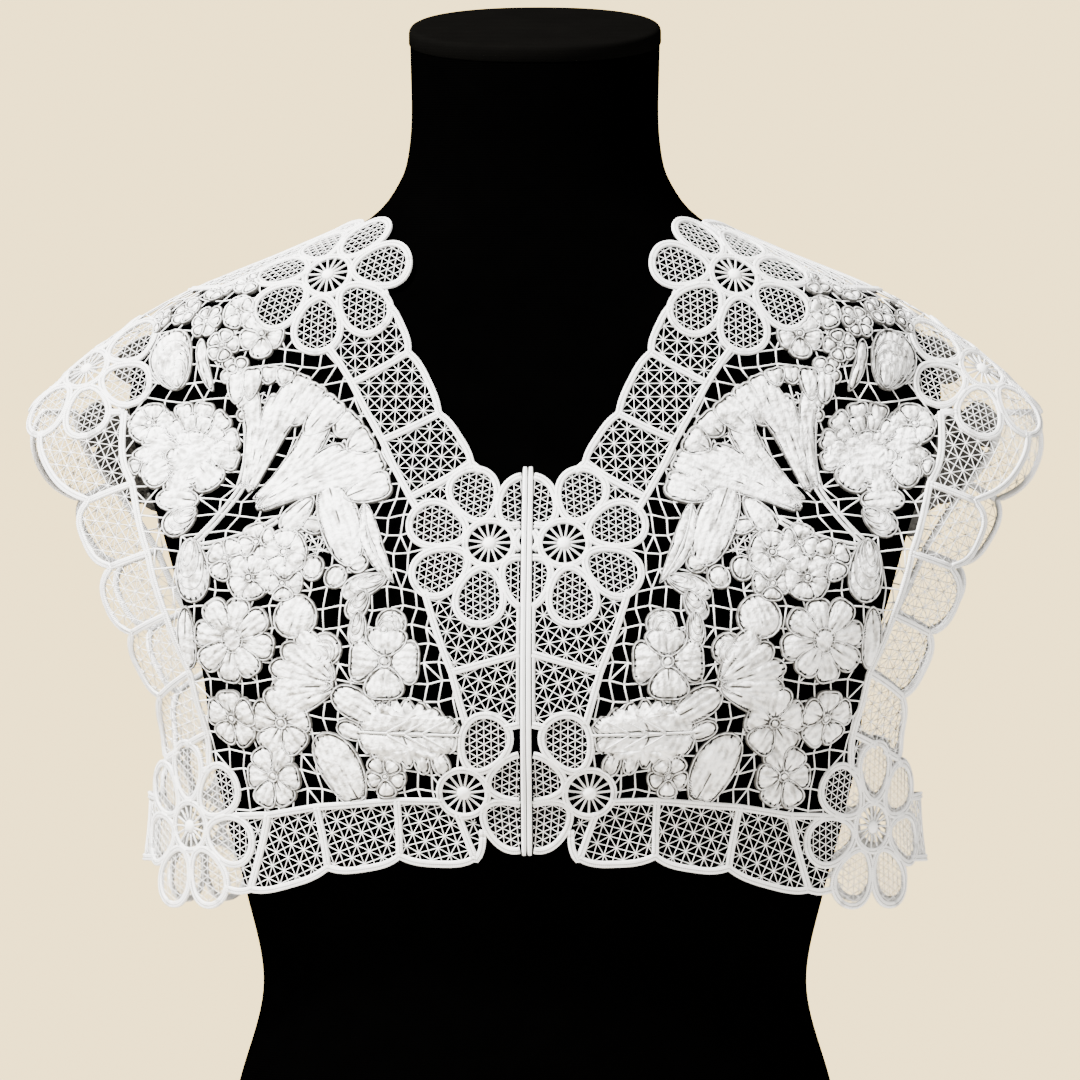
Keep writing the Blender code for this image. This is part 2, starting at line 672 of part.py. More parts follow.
def carve_gaps(field, motifs, borders, first_column, last_column, count):
    """The largest gaps between the bars of a field, clear of its motifs and borders."""
    found = []
    steps = np.arange(1, GAP_STEPS + 1) / GAP_STEPS
    last_row = int(CHART_RISE[-1] / BAR_SPACING)
    trials = np.arange(-GAP_TRIALS, GAP_TRIALS + 1) * GAP_TRIAL_STEP
    offsets = np.array([(i, j) for i in trials for j in trials])
    for column in range(first_column, last_column):
        for row in range(last_row):
            corners = np.array([bar_crossing(column, row), bar_crossing(column + 1, row),
                                bar_crossing(column + 1, row + 1), bar_crossing(column, row + 1)])
            centre = corners.mean(0)
            trial = centre + offsets
            trial = trial[inside(trial, corners) & inside(trial, field)]
            if not len(trial):
                continue
            room = np.minimum(distance_to(trial, corners) - BAR_HALF_WIDTH,
                              distance_to(trial, field) - GAP_MARGIN)
            near = borders + [m for m in motifs if np.linalg.norm(m.mean(0) - centre) < MOTIF_REACH]
            for solid in near:
                away = distance_to(trial, solid) - GAP_MARGIN
                room = np.minimum(room, np.where(inside(trial, solid), -1, away))
            best = int(np.argmax(room))
            if room[best] < GAP_LEAST_RADIUS:
                continue
            seed = trial[best]
            to_corners = corners - seed
            between = (to_corners + np.roll(to_corners, -1, 0)) / 2
            toward = np.stack((to_corners, between), 1).reshape(-1, 2)
            reach = np.linalg.norm(toward, axis=1)
            toward = toward / reach[:, None]
            along = seed + toward[:, None, :] * (steps[None, :] * reach[:, None])[:, :, None]
            flat = along.reshape(-1, 2)
            free = inside(flat, corners) & (distance_to(flat, corners) > BAR_HALF_WIDTH)
            free &= inside(flat, field) & (distance_to(flat, field) > GAP_MARGIN)
            for solid in near:
                free &= ~inside(flat, solid) & (distance_to(flat, solid) > GAP_MARGIN)
            run = np.cumprod(free.reshape(len(toward), -1), axis=1).sum(1)
            length = np.maximum(run * reach / len(steps), GAP_LEAST_RADIUS * 0.9)
            outline = thin_outline(seed + toward * length[:, None])
            x, y = outline.T
            area = 0.5 * abs((x * np.roll(y, -1) - y * np.roll(x, -1)).sum())
            found.append((area, outline))
    found.sort(key=lambda item: -item[0])
    return [outline for _, outline in found[:count]]


# --- from the pattern to walls ----------------------------------------------------------------
class Pattern:
    """Half the lace, split into pieces by a Delaunay triangulation of all its lines."""

    def __init__(self):
        self.lines = []
        self.order = []      # pieces from the topmost down
        self.gaps = []

    def add(self, lines):
        """Add a piece's lines below the pieces that are already there."""
        self.order.append(lines[0].piece)
        self.lines.extend(lines)

    def owner(self, points):
        """Index of the piece that owns each chart point, or -1."""
        owner = np.full(len(points), -1)
        for index, piece in reversed(list(enumerate(self.order))):
            outline = next(line for line in self.lines if line.piece == piece and line.rank == 0)
            owner[inside(points, outline.points)] = index
        for outline in self.gaps:
            near = np.abs(points - outline.mean(0)).max(1) < BAR_SPACING * 1.5
            hit = np.zeros(len(points), bool)
            hit[near] = inside(points[near], outline)
            owner[hit] = -1
        owner[points[:, 0] > math.pi * CHART_PER_RADIAN] = -1
        return owner


def triangulate(points, edges):
    """Constrained Delaunay triangles of chart points and edges."""
    result = delaunay_2d_cdt([Vector(p) for p in points], edges, [], 0, 2e-3)
    verts = np.array([tuple(v) for v in result[0]])
    return verts, [tuple(e) for e in result[1]], np.array([tuple(f) for f in result[2]]), result[3], result[4]


def split_pattern(pattern):
    """Cut every line of the pattern against the others and keep what each piece shows."""
    points = []
    edges = []
    sources = []
    for index, line in enumerate(pattern.lines):
        start = len(points)
        points.extend(line.points)
        count = len(line.points)
        if count > 1:
            for k in range(count):
                edges.append((start + k, start + (k + 1) % count))
                sources.append(index)
    for outline in pattern.gaps:
        start = len(points)
        points.extend(outline)
        for k in range(len(outline)):
            edges.append((start + k, start + (k + 1) % len(outline)))
            sources.append(-1)
    for row in (fold_line(), cut_line()):
        start = len(points)
        points.extend(row)
        for k in range(len(row) - 1):
            edges.append((start + k, start + k + 1))
            sources.append(-1)
    return triangulate(points, edges) + (sources,)


def fold_line():
    """The centre back, where the pattern is mirrored."""
    rises = np.arange(0.0, CHART_RISE[-1], FOLD_SPACING)
    return np.stack((np.full(len(rises), math.pi * CHART_PER_RADIAN), rises), -1)


def cut_line():
    """The line beside the centre front cord."""
    heights = np.linspace(*CUT_HEIGHTS)
    return to_chart(front_angle(np.full(len(heights), FRONT_EDGE), heights), heights)


def front_cut(points):
    """Which chart points lie in the slot of the centre front cords."""
    angle, height = from_chart(points)
    return (cloth_radius(angle, height) * np.sin(angle) < FRONT_EDGE) & (angle < math.pi / 2)


def edge_owners(triangles, owner):
    """The owner on the left of each directed edge."""
    sides = {}
    for t, triangle in enumerate(triangles):
        for k in range(3):
            sides[(triangle[k], triangle[(k + 1) % 3])] = owner[t]
    return sides


def relief_of(pattern, origin):
    """Relief of each vertex, read from the pattern point it came from."""
    relief = {}
    table = []
    for line in pattern.lines:
        table.extend([(line.relief, line.rank, line.piece)] * len(line.points))
    for v, sources in enumerate(origin):
        values = [table[s] for s in sources if s < len(table)]
        if values:
            relief[v] = max(values)
    return relief


def straight_seams(verts, sides):
    """Edges between owners, with points dropped where a seam runs straight on."""
    seams = {}
    beside = {}
    for (a, b), left in sides.items():
        right = sides.get((b, a), -1)
        if left == right:
            continue
        seams[(a, b)] = (left, right)
        seams[(b, a)] = (right, left)
    for a, b in seams:
        beside.setdefault(a, set()).add(b)
    for v in sorted(beside):
        if len(beside[v]) != 2:
            continue
        a, b = sorted(beside[v])
        run = verts[b] - verts[a]
        length = np.linalg.norm(run)
        off = abs(run[0] * (verts[v][1] - verts[a][1]) - run[1] * (verts[v][0] - verts[a][0])) / length
        if off > STRAIGHT or length > SEAM_LONGEST or b in beside[a] or seams[(a, v)] != seams[(v, b)]:
            continue
        seams[(a, b)] = seams.pop((a, v))
        seams[(b, a)] = seams.pop((v, a))
        del seams[(v, b)], seams[(b, v)], beside[v]
        beside[a] = beside[a] - {v} | {b}
        beside[b] = beside[b] - {v} | {a}
    return seams


def build_piece(name, pattern, verts, triangles, owner, sides, seams, kept_edges, relief, index):
    """Outer and inner triangles, joined by the wall round the outline and round each gap."""
    back = math.pi * CHART_PER_RADIAN
    border = {edge: right for edge, (left, right) in seams.items() if left == index}
    dropped = {v for e, left in sides.items() if left != sides.get((e[1], e[0]), -1) for v in e}
    dropped -= {v for e in seams for v in e}
    ring = sorted({v for edge in border for v in edge})
    inner_edges = [e for e in kept_edges if sides.get(e) == index and not dropped & set(e)]
    top_points = sorted({v for e in inner_edges for v in e} - set(ring))
    own = {v for t in triangles[owner == index] for v in t} - set(ring) - set(top_points)
    singles = [v for v in relief if v in own and relief[v][0] == MOTIF_RELIEF
               and relief[v][2] == pattern.order[index]]

    def fill(spacing, taken):
        """Points of an even grid inside the piece, away from the points already there."""
        low = verts[ring].min(0)
        high = verts[ring].max(0)
        grid = np.array([(low[0] + (i + 0.5 * (j % 2)) * spacing, low[1] + j * spacing * 0.87)
                         for i in range(int((high[0] - low[0]) / spacing) + 2)
                         for j in range(int((high[1] - low[1]) / spacing / 0.87) + 2)])
        grid = grid[pattern.owner(grid) == index]
        grid = grid[~front_cut(grid)]
        if not len(grid):
            return grid.reshape(0, 2)
        gap = np.linalg.norm(grid[:, None] - taken[None], axis=-1).min(1)
        return grid[gap > spacing * 0.5]

    def face(extra_ids, extra_edges, spacing):
        """Triangles over the boundary, some extra vertices and a filling grid."""
        ids = ring + list(extra_ids)
        base = verts[ids]
        grid = fill(spacing, base)
        points = np.concatenate((base, grid))
        lookup = {v: k for k, v in enumerate(ids)}
        edges = [(lookup[a], lookup[b]) for a, b in list(border) + list(extra_edges)]
        found, _, faces, origin, _ = triangulate(points, edges)
        if len(found) != len(points):
            raise RuntimeError(f"{name}: a line of the pattern crosses another")
        back_to = {k: origin[k][0] for k in range(len(found))}
        centre = found[faces].mean(1)
        crossing = np.zeros(len(centre), int)
        for a, b in border:
            pa, pb = verts[a], verts[b]
            spans = (pa[1] > centre[:, 1]) != (pb[1] > centre[:, 1])
            rise = pb[1] - pa[1] if abs(pb[1] - pa[1]) > 1e-12 else 1e-12
            at = pa[0] + (centre[:, 1] - pa[1]) * (pb[0] - pa[0]) / rise
            crossing += spans & (centre[:, 0] < at)
        faces = [tuple(back_to[k] for k in f) for f, c in zip(faces, crossing) if c % 2]
        return ids, points, faces

    top_ids, top_flat, top_faces = face(top_points + singles, inner_edges, TOP_SPACING)
    base_ids, base_flat, base_faces = face([], [], BASE_SPACING)

    def raise_up(flat, ids, outer):
        """Place chart points in space, on the inner or the outer face."""
        angle, height = from_chart(flat)
        angle = np.where(np.abs(flat[:, 0] - back) < 1e-3, math.pi, angle)
        place = cloth_point(angle, height)
        normal = cloth_normal(angle, height)
        lift = np.full(len(flat), 0.0)
        if outer:
            lift += LACE_THICKNESS
            for k, v in enumerate(ids):
                if v in relief and relief[v][2] == pattern.order[index]:
                    lift[k] += relief[v][0]
        return place + normal * lift[:, None], normal

    top, _ = raise_up(top_flat, top_ids, True)
    base, base_normal = raise_up(base_flat, base_ids, False)
    shift = np.zeros((len(ring), 3))
    spot = {v: k for k, v in enumerate(ring)}
    pulls = {}
    for (a, b), other in border.items():
        on_fold = abs(verts[a][0] - back) < 1e-3 and abs(verts[b][0] - back) < 1e-3
        if on_fold or other < 0:
            continue
        run = base[spot[b]] - base[spot[a]]
        inward = np.cross(base_normal[spot[a]], run)
        inward /= np.linalg.norm(inward)
        pulls.setdefault(a, []).append(inward)
        pulls.setdefault(b, []).append(inward)
    for v, normals in pulls.items():
        total = sum(normals)
        dot = float(normals[0] @ normals[-1]) if len(normals) > 1 else 1.0
        pull = total / len(normals) / max((1 + dot) / 2, SHARPEST_MITRE) * SEAM_HALF_GAP
        shift[spot[v]] = pull
    top[: len(ring)] += shift
    base[: len(ring)] += shift
    on_fold = np.abs(verts[ring][:, 0] - back) < 1e-3
    top[: len(ring)][on_fold, 0] = 0.0
    base[: len(ring)][on_fold, 0] = 0.0
    offset = len(top)
    faces = [tuple(f) for f in top_faces]
    faces += [(a + offset, c + offset, b + offset) for a, b, c in base_faces]
    for (a, b), _ in border.items():
        if abs(verts[a][0] - back) < 1e-3 and abs(verts[b][0] - back) < 1e-3:
            continue
        ka, kb = spot[a], spot[b]
        faces.append((ka, ka + offset, kb + offset))
        faces.append((ka, kb + offset, kb))
    return np.concatenate((top, base)), faces


def weld(points, faces):
    """Join points that coincide and drop what collapses."""
    keys = {}
    lookup = []
    kept = []
    for point in points:
        key = tuple(np.round(point / WELD).astype(int))
        if key not in keys:
            keys[key] = len(kept)
            kept.append(point)
        lookup.append(keys[key])
    joined = []
    for face in faces:
        face = tuple(lookup[k] for k in face)
        if len(set(face)) == len(face):
            joined.append(face)
    return np.array(kept), joined


def add_mesh(name, points, faces, finish, smooth=False):
    """Make one object from points in millimetres."""
    mesh = bpy.data.meshes.new(name)
    mesh.from_pydata([tuple(p * MM) for p in points], [], [tuple(int(i) for i in f) for f in faces])
    mesh.validate()
    if smooth:
        mesh.shade_smooth()
        mesh.set_sharp_from_angle(angle=math.radians(FORM_SHARP))
    mesh.materials.append(finish)
    thing = bpy.data.objects.new(name, mesh)
    bpy.context.scene.collection.objects.link(thing)
    return thing


def material(name, colour, roughness):
    """A plain finish for one kind of piece."""
    made = bpy.data.materials.new(name)
    made.use_nodes = True
    shader = made.node_tree.nodes["Principled BSDF"]
    shader.inputs["Base Color"].default_value = (*colour, 1.0)
    shader.inputs["Roughness"].default_value = roughness
    shader.inputs["Metallic"].default_value = 0.0
    return made


# --- dress form -------------------------------------------------------------------------------
def tilted_height(points_y, middle):
    """Height of the neck's sloping cut above each depth."""
    return middle + math.tan(math.radians(NECK_TILT)) * points_y


def form_ring(height):
    """One level ring of the form."""
    angle = np.arange(FORM_COLUMNS) * 2 * math.pi / FORM_COLUMNS
    level = np.full(FORM_COLUMNS, float(height))
    r = FORM.radius(angle, level)
    return np.stack((r * np.sin(angle), -r * np.cos(angle), level), -1)


def stack_rings(rings):
    """Closed skin through rings from the bottom up, with a flat face at each end."""
    count = len(rings[0])
    faces = []
    for k in range(len(rings) - 1):
        low = k * count
        high = low + count
        for c in range(count):
            d = (c + 1) % count
            faces.append((low + c, low + d, high + d, high + c))
    last = (len(rings) - 1) * count
    faces.append(tuple(reversed(range(count))))
    faces.append(tuple(range(last, last + count)))
    return np.concatenate(rings), faces


def build_form(finish, cap_finish):
    """Torso with a flat base, and the leaning cap on its neck."""
    rings = [form_ring(height) for height in FORM_RINGS]
    top = form_ring(NECK_TOP)
    top[:, 2] = tilted_height(top[:, 1], NECK_TOP)
    rings.append(top)
    points, faces = stack_rings(rings)
    add_mesh("form_torso", points, faces, finish, smooth=True)
    lean = math.radians(NECK_TILT)
    lift = np.array((0.0, -math.sin(lean), math.cos(lean)))
    reach = np.linalg.norm(top[:, :2], axis=1, keepdims=True)
    cap = []
    for rise, inset in ((SEAT_GAP, 0.0), (CAP_THICKNESS - CAP_EDGE, 0.0),
                        (CAP_THICKNESS - CAP_EDGE * 0.3, CAP_EDGE * 0.3), (CAP_THICKNESS, CAP_EDGE)):
        ring = top.copy()
        ring[:, :2] *= CAP_OVERHANG - inset / reach
        ring[:, 2] = tilted_height(ring[:, 1], NECK_TOP)
        cap.append(ring + lift * rise)
    points, faces = stack_rings(cap)
    add_mesh("form_neck_cap", points, faces, cap_finish, smooth=True)


# --- assembly ---------------------------------------------------------------------------------
def draw_pattern():
    """Every line of half the lace, topmost pieces first."""
    pattern = Pattern()
    for name, angle, height, first_turn in DAISIES:
        turns = [math.radians(first_turn) + k * 2 * math.pi / PETALS for k in range(PETALS)]
        pattern.add(daisy_lines(name, math.radians(angle), height, turns))
    wheel_angle = float(front_angle(np.array([HEM_WHEEL[0]]), np.array([HEM_WHEEL[1]]))[0])
    turns = [math.radians(HEM_WHEEL_FIRST) + k * 2 * math.pi / PETALS for k in range(HEM_WHEEL_PETALS)]
    pattern.add(daisy_lines("hem_wheel", wheel_angle, HEM_WHEEL[1], turns))
    for name, rows, bulge in (("neck_border_front", NECK_BAND, SCALLOP_SMALL),
                              ("front_edge_border", FRONT_BAND, 0.0),
                              ("hem_border_front", HEM_BAND, SCALLOP_SMALL),
                              ("armhole_border_front", ARM_BAND, SCALLOP_ARM)):
        rows = np.array(rows, float)
        pattern.add(band_lines(name, chart_front(rows[:, :2]), chart_front(rows[:, 2:]), bulge))
    rows = np.array(ARM_BAND, float)
    pattern.add(band_lines("armhole_border_back", mirror_to_back(chart_front(rows[:, :2])),
                           mirror_to_back(chart_front(rows[:, 2:])), SCALLOP_ARM))
    pattern.add(band_lines("neck_border_back", spread(NECK_BACK_INNER, NECK_BACK_CELLS),
                           spread(NECK_BACK_OUTER, NECK_BACK_CELLS), SCALLOP_SMALL))
    pattern.add(band_lines("hem_border_back", spread(HEM_BACK_INNER, HEM_BACK_CELLS),
                           spread(HEM_BACK_OUTER, HEM_BACK_CELLS), SCALLOP_SMALL))
    rows = np.array(SIDE_NET, float)
    side = to_chart(np.radians(rows[:, 0]), rows[:, 1])
    centre = side.mean(0)
    net = centre + (side - centre) * SIDE_NET_SHARE
    pattern.add([Line("side_net", side, CORD_RELIEF), Line("side_net", net, 0.0, 1)])
    front_field, back_field = field_outlines()
    pattern.add([Line("front_panel", front_field, 0.0)] + motif_lines("front_panel", FLOWERS, LEAVES, False))
    back_flowers = tuple(row for row in FLOWERS if row[2] >= BACK_LEAST_RADIUS) + BACK_FLOWERS
    back_leaves = tuple(row for row in LEAVES if row[4] >= BACK_LEAST_WIDTH) + BACK_LEAVES
    back_motifs = motif_lines("back_panel", back_flowers, back_leaves, True)
    pattern.add([Line("back_panel", back_field, 0.0)] + back_motifs)
    return pattern


def field_outlines():
    """Outlines of the front and back fields, run under the middle of the borders round them."""
    def between(inner, outer):
        return inner * (1 - FIELD_UNDER) + outer * FIELD_UNDER

    def middle(rows):
        rows = np.array(rows, float)
        return between(chart_front(rows[:, :2]), chart_front(rows[:, 2:]))

    ridge = [to_chart(math.pi / 2, height) for height in SHOULDER_RIDGE]
    neck = middle(NECK_BAND)
    front = middle(FRONT_BAND)
    hem = middle(HEM_BAND)
    arm = middle(ARM_BAND)
    front_field = list(ridge) + list(chart_front(FIELD_NECK_CORNER)) + list(neck) + list(front)
    front_field += list(hem) + list(chart_front(FIELD_SIDE_CORNER)) + list(arm[::-1])
    neck_back = between(spread(NECK_BACK_INNER, NECK_BACK_CELLS), spread(NECK_BACK_OUTER, NECK_BACK_CELLS))
    hem_back = between(spread(HEM_BACK_INNER, HEM_BACK_CELLS), spread(HEM_BACK_OUTER, HEM_BACK_CELLS))
    arm_back = mirror_to_back(arm)
    back_field = list(ridge) + list(neck_back[neck_back[:, 0] > ridge[0][0]]) + list(hem_back[::-1])
    back_field += [to_chart(math.radians(BACK_SIDE_CORNER[0]), BACK_SIDE_CORNER[1])] + list(arm_back[::-1])
    return np.array(front_field), np.array(back_field)


def cut_gaps(pattern):
    """Cut the largest gaps of each field through the lace."""
    outlines = {line.piece: line.points for line in pattern.lines if line.rank == 0}
    borders = [points for piece, points in outlines.items() if not piece.endswith("panel")]
    side = math.pi / 2 * CHART_PER_RADIAN
    for piece, count, low, high in (("front_panel", FRONT_GAPS, 0.0, side),
                                    ("back_panel", BACK_GAPS, side, 2 * side)):
        motifs = [line.points for line in pattern.lines
                  if line.piece == piece and line.rank > 0 and len(line.points) > 1]
        first = int(low / BAR_SPACING)
        last = int(high / BAR_SPACING) + 1
        pattern.gaps.extend(carve_gaps(outlines[piece], motifs, borders, first, last, count))


def keep_relief(pattern, verts, edges, origin_edges, sources, sides):
    """Relief edges that belong to the piece on both their sides and are not under a later motif."""
    kept = []
    order = {piece: k for k, piece in enumerate(pattern.order)}
    motifs = [line for line in pattern.lines if line.rank > 0 and len(line.points) > 1]
    for (a, b), made_from in zip(edges, origin_edges):
        lines = [pattern.lines[sources[s]] for s in made_from if s < len(sources) and sources[s] >= 0]
        lines = [line for line in lines if line.rank > 0 and order[line.piece] == sides.get((a, b), -1)]
        if not lines or sides.get((b, a), -1) != sides.get((a, b), -1):
            continue
        rank = max(line.rank for line in lines)
        middle = (verts[a] + verts[b])[None] / 2
        covered = any(line.piece == lines[0].piece and line.rank > rank
                      and np.abs(line.points.mean(0) - middle[0]).max() < MOTIF_REACH
                      and inside(middle, line.points)[0] for line in motifs)
        if not covered:
            kept.append((a, b))
    return kept


def build_lace(finish):
    """All lace pieces, the wearer's left from the pattern and the right mirrored."""
    pattern = draw_pattern()
    cut_gaps(pattern)
    verts, edges, triangles, origin, origin_edges, sources = split_pattern(pattern)
    centre = verts[triangles].mean(1)
    owner = pattern.owner(centre)
    owner[front_cut(centre)] = -1
    sides = edge_owners(triangles, owner)
    seams = straight_seams(verts, sides)
    relief = relief_of(pattern, origin)
    kept = keep_relief(pattern, verts, edges, origin_edges, sources, sides)
    for index, piece in enumerate(pattern.order):
        points, faces = build_piece(piece, pattern, verts, triangles, owner, sides, seams,
                                    kept, relief, index)
        flipped = points * (-1, 1, 1)
        turned = [tuple(reversed(face)) for face in faces]
        if piece in ("back_panel", "neck_border_back", "hem_border_back"):
            both = np.concatenate((points, flipped))
            faces = faces + [tuple(k + len(points) for k in face) for face in turned]
            points, faces = weld(both, faces)
            add_mesh(piece, points, faces, finish)
        else:
            add_mesh(piece + "_L", *weld(points, faces), finish)
            add_mesh(piece + "_R", *weld(flipped, turned), finish)


def build_cords(finish):
    """The two satin cords that meet at the centre front."""
    heights = np.linspace(CORD_FOOT, CORD_TOP, CORD_POINTS)
    angle = front_angle(np.full(CORD_POINTS, CORD_ACROSS), heights)
    centre = cloth_point(angle, heights) + cloth_normal(angle, heights) * CORD_LIFT
    centre[:, 0] = CORD_ACROSS
    run = np.gradient(centre, axis=0)
    run /= np.linalg.norm(run, axis=1, keepdims=True)
    side = np.array((1.0, 0.0, 0.0))
    rings = []
    for point, direction in zip(centre, run):
        out = np.cross(side, direction)
        spots = (np.arange(CORD_SIDES) + 0.5) * 2 * math.pi / CORD_SIDES
        ring = [point + CORD_RADIUS * (math.cos(s) * side + math.sin(s) * out) for s in spots]
        rings.append(np.array(ring))
    points, faces = stack_rings(rings)
    faces = [tuple(reversed(face)) for face in faces]
    add_mesh("edge_cord_L", points, faces, finish, smooth=True)
    turned = [tuple(reversed(face)) for face in faces]
    add_mesh("edge_cord_R", points * (-1, 1, 1), turned, finish, smooth=True)


def main():
    """Clear the scene and build the form and the lace."""
    for thing in list(bpy.data.objects):
        bpy.data.objects.remove(thing)
    form = material("matte_black_cloth", (0.012, 0.012, 0.013), 0.85)
    cap = material("satin_black_cap", (0.02, 0.02, 0.021), 0.6)
    lace = material("white_lace", (0.86, 0.855, 0.83), 0.8)
    cord = material("white_satin_cord", (0.9, 0.895, 0.87), 0.55)
    build_form(form, cap)
    build_lace(lace)
    build_cords(cord)


main()
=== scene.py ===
"""White lace collar on a black dress form.

The collar is machine guipure: floral fields of padded petals joined by bars, net borders with
double-ridged cords, seven-petal daisies at the corners and two satin cords at the centre front.
Sizes are in millimetres on the cloth and are scaled to metres when a mesh is made.

Angles round the body run from 0 at the centre front (-Y) through 90 at the wearer's left (+X) to
180 at the centre back. Every piece is worked on one half of the cloth and mirrored.
"""

import logging
import math
from collections.abc import Iterator, Sequence
from dataclasses import dataclass, field
from enum import Enum

import bpy
import numpy as np
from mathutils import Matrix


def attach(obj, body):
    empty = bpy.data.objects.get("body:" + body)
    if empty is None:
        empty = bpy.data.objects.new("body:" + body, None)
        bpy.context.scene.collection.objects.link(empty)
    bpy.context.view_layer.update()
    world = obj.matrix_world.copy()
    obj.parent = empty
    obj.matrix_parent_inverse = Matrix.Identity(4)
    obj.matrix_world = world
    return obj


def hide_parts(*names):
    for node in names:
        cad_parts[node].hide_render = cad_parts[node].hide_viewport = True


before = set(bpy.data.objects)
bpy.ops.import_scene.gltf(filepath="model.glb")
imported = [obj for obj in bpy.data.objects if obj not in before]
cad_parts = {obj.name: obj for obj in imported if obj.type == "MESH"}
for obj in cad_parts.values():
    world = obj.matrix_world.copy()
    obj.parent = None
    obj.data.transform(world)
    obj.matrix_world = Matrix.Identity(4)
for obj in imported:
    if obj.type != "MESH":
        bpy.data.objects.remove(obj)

LOG = logging.getLogger("lace")
MM = 0.001
Number = float | np.ndarray       # one number, or one for each point
Rows = Sequence | np.ndarray      # rows of a table, or points
Socket = bpy.types.NodeSocket
NUMBERS = ("along", "around", "edge")     # what the finishes read of each point
PAD_FINISH = 2                            # place of the petals' finish in the lace's list

# --- dress form and drape: height, half width, depth to the front, depth to the back ---
FORM_SECTIONS = (
    (0, 158, 98, 112),
    (60, 153, 96, 108),
    (123, 136, 90, 92),
    (169, 125, 84, 78),
    (210, 133, 92, 82),
    (239, 141, 104, 88),
    (275, 149, 120, 97),
    (310, 153, 124, 104),
    (345, 163, 118, 110),
    (380, 173, 104, 113),
    (410, 183, 90, 112),
    (435, 187, 82, 107),
    (452, 185, 75, 103),
    (461, 181, 72, 100),
    (469, 175, 70, 97),
    (484, 155, 66, 86),
    (503, 110, 62, 72),
    (519, 77, 57, 62),
    (537, 62, 52, 58),
    (551, 58, 50, 56),
    (600, 57.5, 50, 55),
    (640, 57.5, 50, 55),
)
DRAPE_SECTIONS = (
    (200, 180, 104, 100),
    (229, 178, 108, 105),
    (239, 177, 110, 107),
    (275, 176, 119, 112),
    (302, 190, 122, 115),
    (345, 222, 116, 116),
    (380, 234, 102, 115),
    (404, 238, 84, 113),
    (436, 228, 56, 105),
    (445, 218, 50, 101),
    (454, 207, 46, 97),
    (468, 189, 44, 90),
    (486, 157, 44, 78),
    (505, 109, 44, 62),
    (521, 73, 38, 50),
    (545, 54, 32, 40),
)
FORM_ROUNDNESS = 2.2
DRAPE_ROUNDNESS = 2.0
FORM_CLEARANCE = 1.0
DRAPE_SOFTNESS = 5.0
RIPPLE = 0.9              # soft waves where the lace hangs free
NECK_TOP = 600.0
NECK_TILT = 10.9
CAP_THICKNESS = 8.0
CAP_OVERHANG = 1.01
SEAT_GAP = 0.3
CAP_RINGS = (  # height over the neck's cut, how far the ring is drawn in
    (SEAT_GAP, 0.3),
    (0.8, 0.0),
    (CAP_THICKNESS - 2.6, 0.0),
    (CAP_THICKNESS - 1.5, 0.25),
    (CAP_THICKNESS - 0.65, 0.85),
    (CAP_THICKNESS - 0.15, 1.8),
    (CAP_THICKNESS, 3.2),
)

# --- borders: inner end of each divider, then its outer end, as across and height ---
NECK_BAND = (
    (104, 478, 74, 492),
    (98, 468, 66, 480),
    (81, 443.5, 55.5, 457.5),
    (66.7, 417.6, 41, 429.5),
    (53.4, 391.4, 26, 407),
    (42, 372, 15, 388),
)
FRONT_BAND = (
    (48, 356, 2.9, 350),
    (33.6, 312.7, 2.9, 321),
    (25.5, 284, 2.9, 289),
)
HEM_BAND = (
    (20, 256, 20, 238),
    (33.6, 254, 24, 228),
    (58.9, 254.3, 58, 229),
    (96, 251, 91, 223.5),
    (118.7, 247, 127, 213),
    (140, 246, 146, 219),
)
ARM_BAND = (
    (187, 430, 219, 430),
    (182, 397.5, 202, 390),
    (174, 366, 191, 360),
    (165.5, 338, 181.5, 330),
    (154.5, 312, 169, 301),
    (147, 284, 166.5, 272),
    (146, 268, 163, 258),
)
NECK_BACK_INNER = ((79, 487), (112, 484), (136, 479), (158, 474), (180, 472))     # angle, height
NECK_BACK_OUTER = ((72, 516), (112, 511), (138, 506), (160, 500), (180, 498))
HEM_BACK_INNER = ((119, 245), (150, 251), (180, 254))
HEM_BACK_OUTER = ((116, 217), (150, 225), (180, 229))
BACK_CELLS = 5
SIDE_NET = ((80, 226), (90, 225.4), (100, 226), (100, 253.6), (90, 254.4), (80, 253.6))
SCALLOP_SMALL = 3.2
SCALLOP_ARM = 7.0
FIELD_UNDER = 0.4
SHOULDER_RIDGE = (452.0, 470.0, 486.0, 500.0)
FIELD_NECK_CORNER = ((94, 496),)
FIELD_SIDE_CORNER = ((156, 240),)
BACK_SIDE_CORNER = ((117.5, 239.0),)
FRONT_EDGE = 2.75         # lace stops here, beside the satin cord

# --- daisies ---
PETALS = 7
PETAL_CENTRE = 25.3
PETAL_CORD = (13.5, 10.7)             # half length and half width of a petal's cord
PETAL_TAPER = 0.22                    # how much a petal narrows towards the wheel
PETAL_RIM = (14.3, 12.9)              # and of its outer edge
WHEEL_RADIUS = 12.8
RING_RADIUS = 11.2
HUB_RADIUS = 3.4
SPOKES = 15
DAISIES = (  # name, angle round the body, height, turn of the first petal
    ("neck_daisy", 61.3, 493.0, 12.0),
    ("front_daisy", 8.7, 370.7, 21.0),
    ("shoulder_daisy", 86.6, 449.8, 36.3),
    ("underarm_daisy_front", 71.0, 241.0, 38.6),
    ("underarm_daisy_back", 109.0, 241.0, 141.4),
)
HEM_WHEEL = (28.5, 258.0)
HEM_WHEEL_FIRST = 114.0
HEM_WHEEL_PETALS = 3

